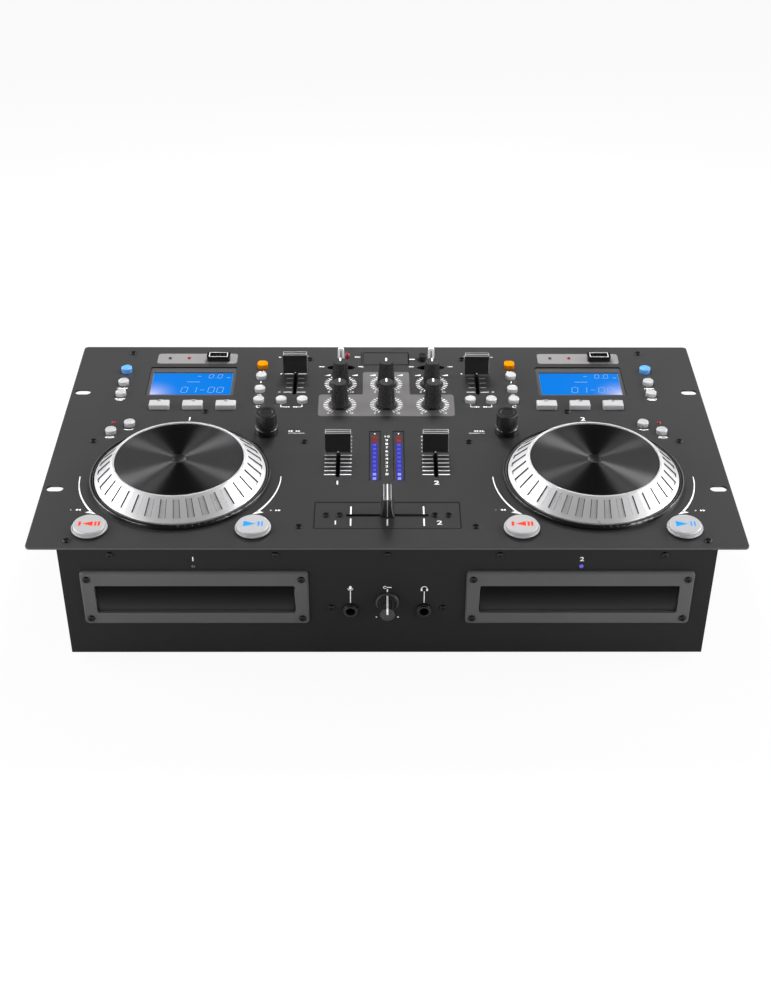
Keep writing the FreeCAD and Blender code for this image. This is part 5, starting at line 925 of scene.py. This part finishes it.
class CONSOLE_OT_fit_meters(Operator):
    """Fit the level meters, status lamps and ports"""
    bl_idname = "console.fit_meters"
    bl_label = "Fit meters and lamps"

    def execute(self, context):
        dress("level_meters", "window_black")
        tree = lamp_column_tree()
        for name, side in DECKS.items():
            self.meter(name, side, tree, context.scene.console_print.meter_lamps - 4)
        drives = FRONT_Y_M + 0.003
        dress("status_lamps", "lamp_red", 40,
              [("lamp_dark", lambda face, out: face.y < drives
                or min(abs(face.x - x) for x in DARK_LAMPS_M) < 0.003),
               ("lamp_lit", lambda face, out: face.y < drives and face.x > 0)])
        dress("usb_sockets", "socket_black", 35)
        dress("front_jacks", "socket_black", 35)
        for name, x in PORT_X.items():
            self.port(name, x)
        return {"FINISHED"}

    def meter(self, name, side, tree, blue):
        """Column of two bright, some blue and two red lamps, with their glow on the dark window."""
        x = side * METER_X
        for label, first, count, finish in (("hot", 0, 2, "meter_blue_hot"), ("blue", 2, blue, "meter_blue"),
                                            ("red", blue + 2, 2, "meter_red")):
            grown("meter_%s_%s" % (label, name), tree,
                  {"Place": on_top(x, FIRST_LAMP_Y + first * LAMP_PITCH, METER_FACE + 0.08), "Count": count,
                   "Pitch": LAMP_PITCH / 1000, "Width": 0.0024, "Depth": 0.0030, "Height": 0.0002}, finish)
        for kind, middle, length in (("glow", (blue + 1) / 2, blue + 2), ("ember", blue + 2.4, 1.8)):
            ink = Ink()
            ink.bar(x, FIRST_LAMP_Y + middle * LAMP_PITCH, 4.6, length * LAMP_PITCH)
            ink.build("meter_%s_%s" % (kind, name), "meter_" + kind, lift=METER_FACE + 0.03)
        border = Ink()
        for end in (-4.1, 4.1):
            border.bar(side * 8.6 + end, -22.5, 0.6, 64.0)
        border.bar(side * 8.6, -54.2, 8.4, 0.9)
        border.build("meter_border_" + name, "gap_black", lift=METER_FACE + 0.03)

    def port(self, name, x):
        """Metal shell and contacts of a memory port."""
        shell = Ink()
        for end in (-1, 1):
            shell.bar(x, PORT_Y + end * 3.2, 14.8, 0.6)
            shell.bar(x + end * 7.05, PORT_Y, 0.7, 5.8)
        depth = shell.build("port_shell_" + name, "port_metal", lift=4.25).modifiers.new("depth", "SOLIDIFY")
        depth.thickness = 0.0012
        depth.offset = -1
        pins = Ink()
        for step in (-4.2, -1.4, 1.4, 4.2):
            pins.bar(x + step, PORT_Y + 1.2, 1.1, 1.0)
        pins.build("port_pins_" + name, "port_metal", lift=3.2)


class CONSOLE_OT_print_panel(Operator):
    """Print the scales, signs and numbers on the panel and the front"""
    bl_idname = "console.print_panel"
    bl_label = "Print panel"

    def execute(self, context):
        self.marks = context.scene.console_print
        self.silver_areas()
        self.fader_scales()
        self.knob_scales()
        self.deck_print()
        self.mixer_print()
        self.seams()
        self.front_print()
        return {"FINISHED"}

    def silver_areas(self):
        area = Ink()
        area.cornered([(-51.5, 30.1, 3.2), (51.5, 30.1, 3.2), (51.5, 60.8, 3.2), (18.0, 60.8, 0.8),
                       (18.0, 94.0, 2.4), (-18.0, 94.0, 2.4), (-18.0, 60.8, 0.8), (-51.5, 60.8, 3.2)])
        area.build("mixer_silver", "mixer_ink", lift=0.02)
        strips = Ink()
        for x0, x1 in ((-180.8, -117.8), (120.2, 184.4)):
            strips.rounded(x0, x1, 107.0, 122.3, 2.6)
        strips.build("port_strips", "silver_ink", lift=0.02)

    def fader_scales(self):
        rows = tick_row_tree()
        for name, side in DECKS.items():
            grown("channel_scale_" + name, rows,
                  {"Place": on_top(side * CHANNEL_X, 1.9, INK_LIFT), "Count": self.marks.fader_ticks,
                   "Pitch": 0.0049, "Length": 0.0080, "Width": self.marks.tick_width * 0.0016, "Gap": 0.0034},
                  "white_ink")
            grown("pitch_scale_" + name, rows,
                  {"Place": on_top(side * PITCH_X, PITCH_SCALE_Y[0], INK_LIFT),
                   "Count": self.marks.pitch_ticks, "Pitch": 0.0068, "Length": 0.0046, "Width": 0.0008,
                   "Gap": 0.0042}, "grey_ink")
            ink = Ink()
            for y in PITCH_SCALE_Y:
                for shift in (-5.3, 5.3):
                    ink.bar(side * PITCH_X + shift, y, 6.6, 1.0)
            ink.build("pitch_marks_" + name, "grey_ink", lift=0.06)

    def knob_scales(self):
        rings = tick_ring_tree()
        numbers = Ink()
        for index, (x, y, _) in enumerate(KNOBS.values()):
            grown("knob_scale_%d" % index, rings,
                  {"Place": on_top(x, y, 0.05), "Count": self.marks.knob_ticks, "Radius": 0.0109,
                   "Length": 0.0031, "Width": self.marks.tick_width * 0.0012, "Start": math.radians(-60),
                   "Step": math.radians(300) / (self.marks.knob_ticks - 1)}, "white_ink")
            numbers.words("0", x - 8.6, y - 11.9, 1.9, 1.2)
            numbers.words("10", x + 8.8, y - 11.9, 1.9, 1.2)
        numbers.build("knob_numbers", "white_ink", lift=0.05)

    def deck_print(self):
        ink = Signs()
        for side in DECKS.values():
            ink.words(NUMBERS[side], side * 147.0, 25.8, self.marks.digit_height, 1.25, 0.05)
            self.wheel_arrows(ink, side)
            ink.disc(side * PITCH_X - 11.4, 91.4, 0.7)
            ink.bar(side * (PITCH_X + 11.6), 64.3, 1.7, 0.6)
            ink.bar(side * (PITCH_X + 13.6), 117.0, 2.0, 0.6)
            self.key_column_signs(ink, side)
            self.key_row_signs(ink, side)
        ink.build("deck_print", "white_ink")

    def wheel_arrows(self, ink, side):
        """Curved arrows down both sides of a jog wheel, with their directions."""
        x = side * JOG_X
        for way, start, end in ((-1, 180.0, 217.0), (1, 0.0, -37.0)):
            ink.arc(x, JOG_Y, 71.0, start, end, (0.6, 1.4))
            u, v = polar(x, JOG_Y, 71.0, end)
            ink.shape([(u - way * 3.4, v - 2.6), (u + way * 4.4, v - 0.4), (u + way * 0.6, v + 1.4)])
        ink.words("-", x - 71.5, -89.6, 2.6)
        ink.wind(x - 66.4, -89.8, -1)
        ink.words("+", x + 66.0, -90.6, 2.6)
        ink.wind(x + 71.0, -90.4, 1)

    def key_column_signs(self, ink, side):
        outer, inner = side * 202.9, side * 97.0
        ink.eject(outer, 103.2)
        ink.lines(outer, 68.7)
        ink.lines(outer, 53.4)
        ink.words("+/-", inner, 94.4, 2.6, 1.4, 0.04)
        ink.words("1", inner, 78.8, 2.8, 1.4, 0.04)
        ink.clock(inner, 59.4)
        ink.repeat(inner, 43.4)
        for x, y, start, end in ((190.8, 17.6, 240, 300), (203.3, 6.8, 240, 300), (203.3, 8.3, 245, 295)):
            ink.arc(side * x, y, 6.6, start, end, 0.7, 8)

    def key_row_signs(self, ink, side):
        for x, way in ((79.9, -1), (63.9, 1)):
            ink.stroke(side * x, 46.6, side * x, 42.6, 0.6)
            ink.stroke(side * x, 42.9, side * (x + way * 3.2), 42.9, 0.6)
            ink.wind(side * (x + way * 5.4), 42.9, way * side, 1.1)
        for step, way in ((-LOOP_STEP, -1), (0.0, 1), (LOOP_STEP, 1)):
            x = side * 146.5 + step
            ink.stroke(x - 3.2, 50.6, x + 3.2, 50.6, 0.35)
            ink.wind(x, 52.6, way, 1.0)
        ink.wind(side * 66.0, 9.4, -1, 1.2)
        ink.wind(side * 70.6, 9.4, 1, 1.2)
        ink.stroke(side * 60.6, 6.6, side * 72.4, 6.6, 0.35)

    def mixer_print(self):
        size = self.marks.digit_height
        ink = Ink()
        for side in DECKS.values():
            ink.words(NUMBERS[side], side * CHANNEL_X, -57.4, size, 1.3, 0.05)
            ink.words(NUMBERS[side], side * 35.4, -104.8, size, 1.3, 0.05)
            ink.bar(side * 25.0, -90.4, 1.0, 9.0)
            ink.bar(side * 25.0, -104.0, 1.0, 8.4)
            ink.disc(side * 8.75, 5.6, 0.6)
            for way in (-1, 1):
                ink.stroke(side * KNOB_X + way * 13.4, 102.2, side * KNOB_X + way * 17.2, 102.2, 0.7)
        ink.bar(0.0, -104.4, 1.0, 7.4)
        for number in range(11):
            ink.words(str(number), 0.0, 1.9 - (10 - number) * 4.86, 2.5, 1.4, 0.03)
        ink.bar(-22.6, 117.2, 4.4, 0.8)
        ink.bar(20.8, 113.8, 4.4, 0.8)
        for x in (-KNOB_X - 10.6, -KNOB_X + 10.6, -10.6, 10.6, KNOB_X - 10.6, KNOB_X + 10.6):
            ink.shape([(x - 2.4, 88.6), (x + 2.4, 88.6), (x + 2.4, 90.4)])
        ink.build("mixer_print", "white_ink", lift=0.05)

    def seams(self):
        """Dark gaps round the crossfader plate and the flush cover, and seams over the bezels widened into
        painted shadow.
        """
        gaps = Ink()
        gaps.bar(0.0, -81.0, PLATE_HALF_X * 2, 1.4)
        gaps.bar(0.0, -111.2, PLATE_HALF_X * 2, 0.7)
        for end in (-PLATE_HALF_X, PLATE_HALF_X):
            gaps.bar(end, PLATE_Y, 0.9, 30.3)
        cover = [(-19.6, 104.4), (17.6, 104.4), (17.6, 124.6), (-19.6, 124.6)]
        for i, corner in enumerate(cover):
            gaps.stroke(*cover[i - 1], *corner, 0.5)
        gaps.build("panel_gaps", "gap_black", lift=0.03)
        outer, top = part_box("drive_bezels")[1].x * 1000, spot("drive_bezels")[2]
        inner = min(abs(vertex.co.x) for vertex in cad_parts["drive_bezels"].data.vertices) * 1000
        # dark line over each bezel: its seam, widened into painted shadow
        seams = Ink()
        for side in (-0.5, 0.5):
            seams.bar(side * (outer + inner), top + 0.7, outer - inner + 0.6, 1.4)
        seams.build("bezel_seam_shadows", "gap_black", place=on_front)

    def front_print(self):
        ink = Signs()
        for side in DECKS.values():
            ink.words(NUMBERS[side], side * 130.6, -11.8, 3.6, 1.25, 0.05)
            ink.disc(side * 7.4, -62.2, 0.55)
            ink.stroke(side * 25.2, -39.6, side * 25.2, -49.4, 0.6)
        ink.microphone(-25.2, -37.2)
        ink.headphones(25.2, -37.2)
        ink.stroke(0.0, -37.9, 0.0, -39.9, 0.9)
        ink.arc(-1.7, -36.0, 1.0, 30, 330, 0.5, 12)
        ink.stroke(-0.4, -36.0, 2.8, -36.0, 0.7)
        ink.build("front_print", "white_ink", place=on_front)


# ------------------------------------------------------------------ studio
WHITE = (1, 1, 1, 1)


class CONSOLE_OT_set_stage(Operator):
    """Set the floor, the lights and the camera"""
    bl_idname = "console.set_stage"
    bl_label = "Set stage"

    def execute(self, context):
        self.studio = context.scene.console_studio
        self.floor()
        self.world(context.scene)
        self.lights()
        self.camera(context.scene)
        context.scene.view_settings.view_transform = "Standard"
        return {"FINISHED"}

    def floor(self):
        """White paper that the camera sees almost evenly white and that keeps the console's shadow."""
        mesh = mesh_of("floor", [(-6, -5, 0), (6, -5, 0), (6, 9, 0), (-6, 9, 0)], [(0, 1, 2, 3)])
        material = bpy.data.materials.new("floor_white")
        material.use_nodes = True
        tree = material.node_tree
        tree.nodes.clear()
        paper = made(tree, "ShaderNodeBsdfDiffuse", {"Color": (0.93, 0.93, 0.93, 1)})
        white = made(tree, "ShaderNodeEmission", {"Color": WHITE, "Strength": 1.0})
        seen = add(tree, "ShaderNodeLightPath").outputs["Is Camera Ray"]
        share = maths(tree, "MULTIPLY", seen, self.studio.floor_white)
        mix = made(tree, "ShaderNodeMixShader", {0: share, 1: paper, 2: white})
        add(tree, "ShaderNodeOutputMaterial", {"Surface": mix})
        mesh.materials.append(material)
        placed("floor", mesh)

    def world(self, scene):
        """Even dim light, white for the camera, and pale side walls for what shines."""
        scene.world = bpy.data.worlds.new("studio")
        scene.world.use_nodes = True
        tree = scene.world.node_tree
        tree.nodes.clear()
        direction = add(tree, "ShaderNodeTexCoord").outputs["Generated"]
        x, y, z = add(tree, "ShaderNodeSeparateXYZ", {0: direction}).outputs
        wing = spread(tree, maths(tree, "ABSOLUTE", x), 0.12, 0.62, 0.0, 1.0)
        height = spread(tree, z, 0.42, 0.78, 1.0, 0.0)
        behind = spread(tree, y, -0.75, -0.15, 0.0, 1.0)
        horizon = spread(tree, z, 0.04, 0.18, 0.5, 0.0)
        sides = maths(tree, "MULTIPLY", wing, height)
        walls = maths(tree, "MULTIPLY", maths(tree, "MAXIMUM", sides, horizon), behind)
        room = tinted(tree, maths(tree, "ADD", walls, 0.03), (0.0, 0.0, 0.0), (1.0, 1.0, 1.0))
        even = made(tree, "ShaderNodeBackground", {"Color": WHITE, "Strength": self.studio.sky})
        mirrored = made(tree, "ShaderNodeBackground", {"Color": room, "Strength": 1.7})
        white = made(tree, "ShaderNodeBackground", {"Color": WHITE, "Strength": 1.0})
        path = add(tree, "ShaderNodeLightPath").outputs
        shiny = maths(tree, "MAXIMUM", path["Is Glossy Ray"], path["Is Transmission Ray"])
        unseen = made(tree, "ShaderNodeMixShader", {0: shiny, 1: even, 2: mirrored})
        every = made(tree, "ShaderNodeMixShader", {0: path["Is Camera Ray"], 1: unseen, 2: white})
        add(tree, "ShaderNodeOutputWorld", {"Surface": every})

    def lights(self):
        studio = self.studio
        self.softbox("key_softbox", (0.0, 0.46, 0.58), (0.0, 0.0, 0.10), 0.26, 0.16, studio.key_power, False)
        for name, side, share in (("left", -1, 1.0), ("right", 1, 1.3)):
            self.softbox(name + "_softbox", (side * 1.35, 0.25, 0.75), (0.0, 0.0, 0.05), 0.7, 0.6,
                         studio.fill_power * share)
        for name, side in (("left", -1), ("right", 1)):
            self.softbox(name + "_edge", (side * 0.60, -0.42, 0.28), (side * 0.15, -0.10, 0.06), 0.3, 0.3,
                         studio.edge_power)
        self.softbox("front_softbox", (0.0, -1.5, 1.2), (0.0, -0.1, 0.0), 1.2, 0.5, studio.front_power, False)

    def softbox(self, name, place, target, width, height, power, mirrored=True):
        """Rectangular light at a place, in metres, that faces a target."""
        data = bpy.data.lights.new(name, "AREA")
        data.shape = "RECTANGLE"
        data.size = width
        data.size_y = height
        data.energy = power
        lamp = placed(name, data)
        lamp.location = place
        lamp.rotation_euler = (Vector(target) - Vector(place)).to_track_quat("-Z", "Y").to_euler()
        lamp.visible_glossy = mirrored

    def camera(self, scene):
        """View from above the front, levelled by three turns about the camera's own axes."""
        data = bpy.data.cameras.new("view")
        data.sensor_fit = "VERTICAL"
        data.sensor_height = 24.0
        data.lens = 1.5371 * data.sensor_height
        data.shift_y = 0.0254
        data.clip_start = 0.05
        camera = placed("view", data)
        pitch, yaw, roll = 36.529, 0.324, 0.006
        matrix = Matrix.Translation(on_top(-7.2, -945.1, 620.3))
        for degrees, axis in ((90 - pitch, "X"), (-yaw, "Y"), (roll, "Z")):
            matrix = matrix @ Matrix.Rotation(math.radians(degrees), 4, axis)
        camera.matrix_world = matrix
        scene.camera = camera


# ------------------------------------------------------------------ panel and registration
STEPS = (CONSOLE_OT_mix_finishes, CONSOLE_OT_set_stage, CONSOLE_OT_finish_case, CONSOLE_OT_finish_controls,
         CONSOLE_OT_finish_jogs, CONSOLE_OT_light_displays, CONSOLE_OT_fit_meters, CONSOLE_OT_print_panel)
SETTINGS = {"console_finish": ConsoleFinish, "console_print": ConsolePrint, "console_studio": StudioSettings}


class CONSOLE_PT_tools(Panel):
    """Lists the console's steps and settings"""
    bl_idname = "CONSOLE_PT_tools"
    bl_label = "Disc console"
    bl_space_type = "VIEW_3D"
    bl_region_type = "UI"
    bl_category = "Console"

    def draw(self, context):
        for group in SETTINGS:
            settings = getattr(context.scene, group)
            column = self.layout.column(align=True)
            for name in settings.__annotations__:
                column.prop(settings, name)
        for step in STEPS:
            self.layout.operator(step.bl_idname)


CLASSES = (*SETTINGS.values(), *STEPS, CONSOLE_PT_tools)


def register():
    for item in CLASSES:
        bpy.utils.register_class(item)
    for name, group in SETTINGS.items():
        setattr(bpy.types.Scene, name, PointerProperty(type=group))


def unregister():
    for name in SETTINGS:
        delattr(bpy.types.Scene, name)
    for item in reversed(CLASSES):
        bpy.utils.unregister_class(item)


def main():
    register()
    for step in STEPS:
        group, name = step.bl_idname.split(".")
        getattr(getattr(bpy.ops, group), name)()
    bpy.context.view_layer.update()


if __name__ == "__main__":
    main()
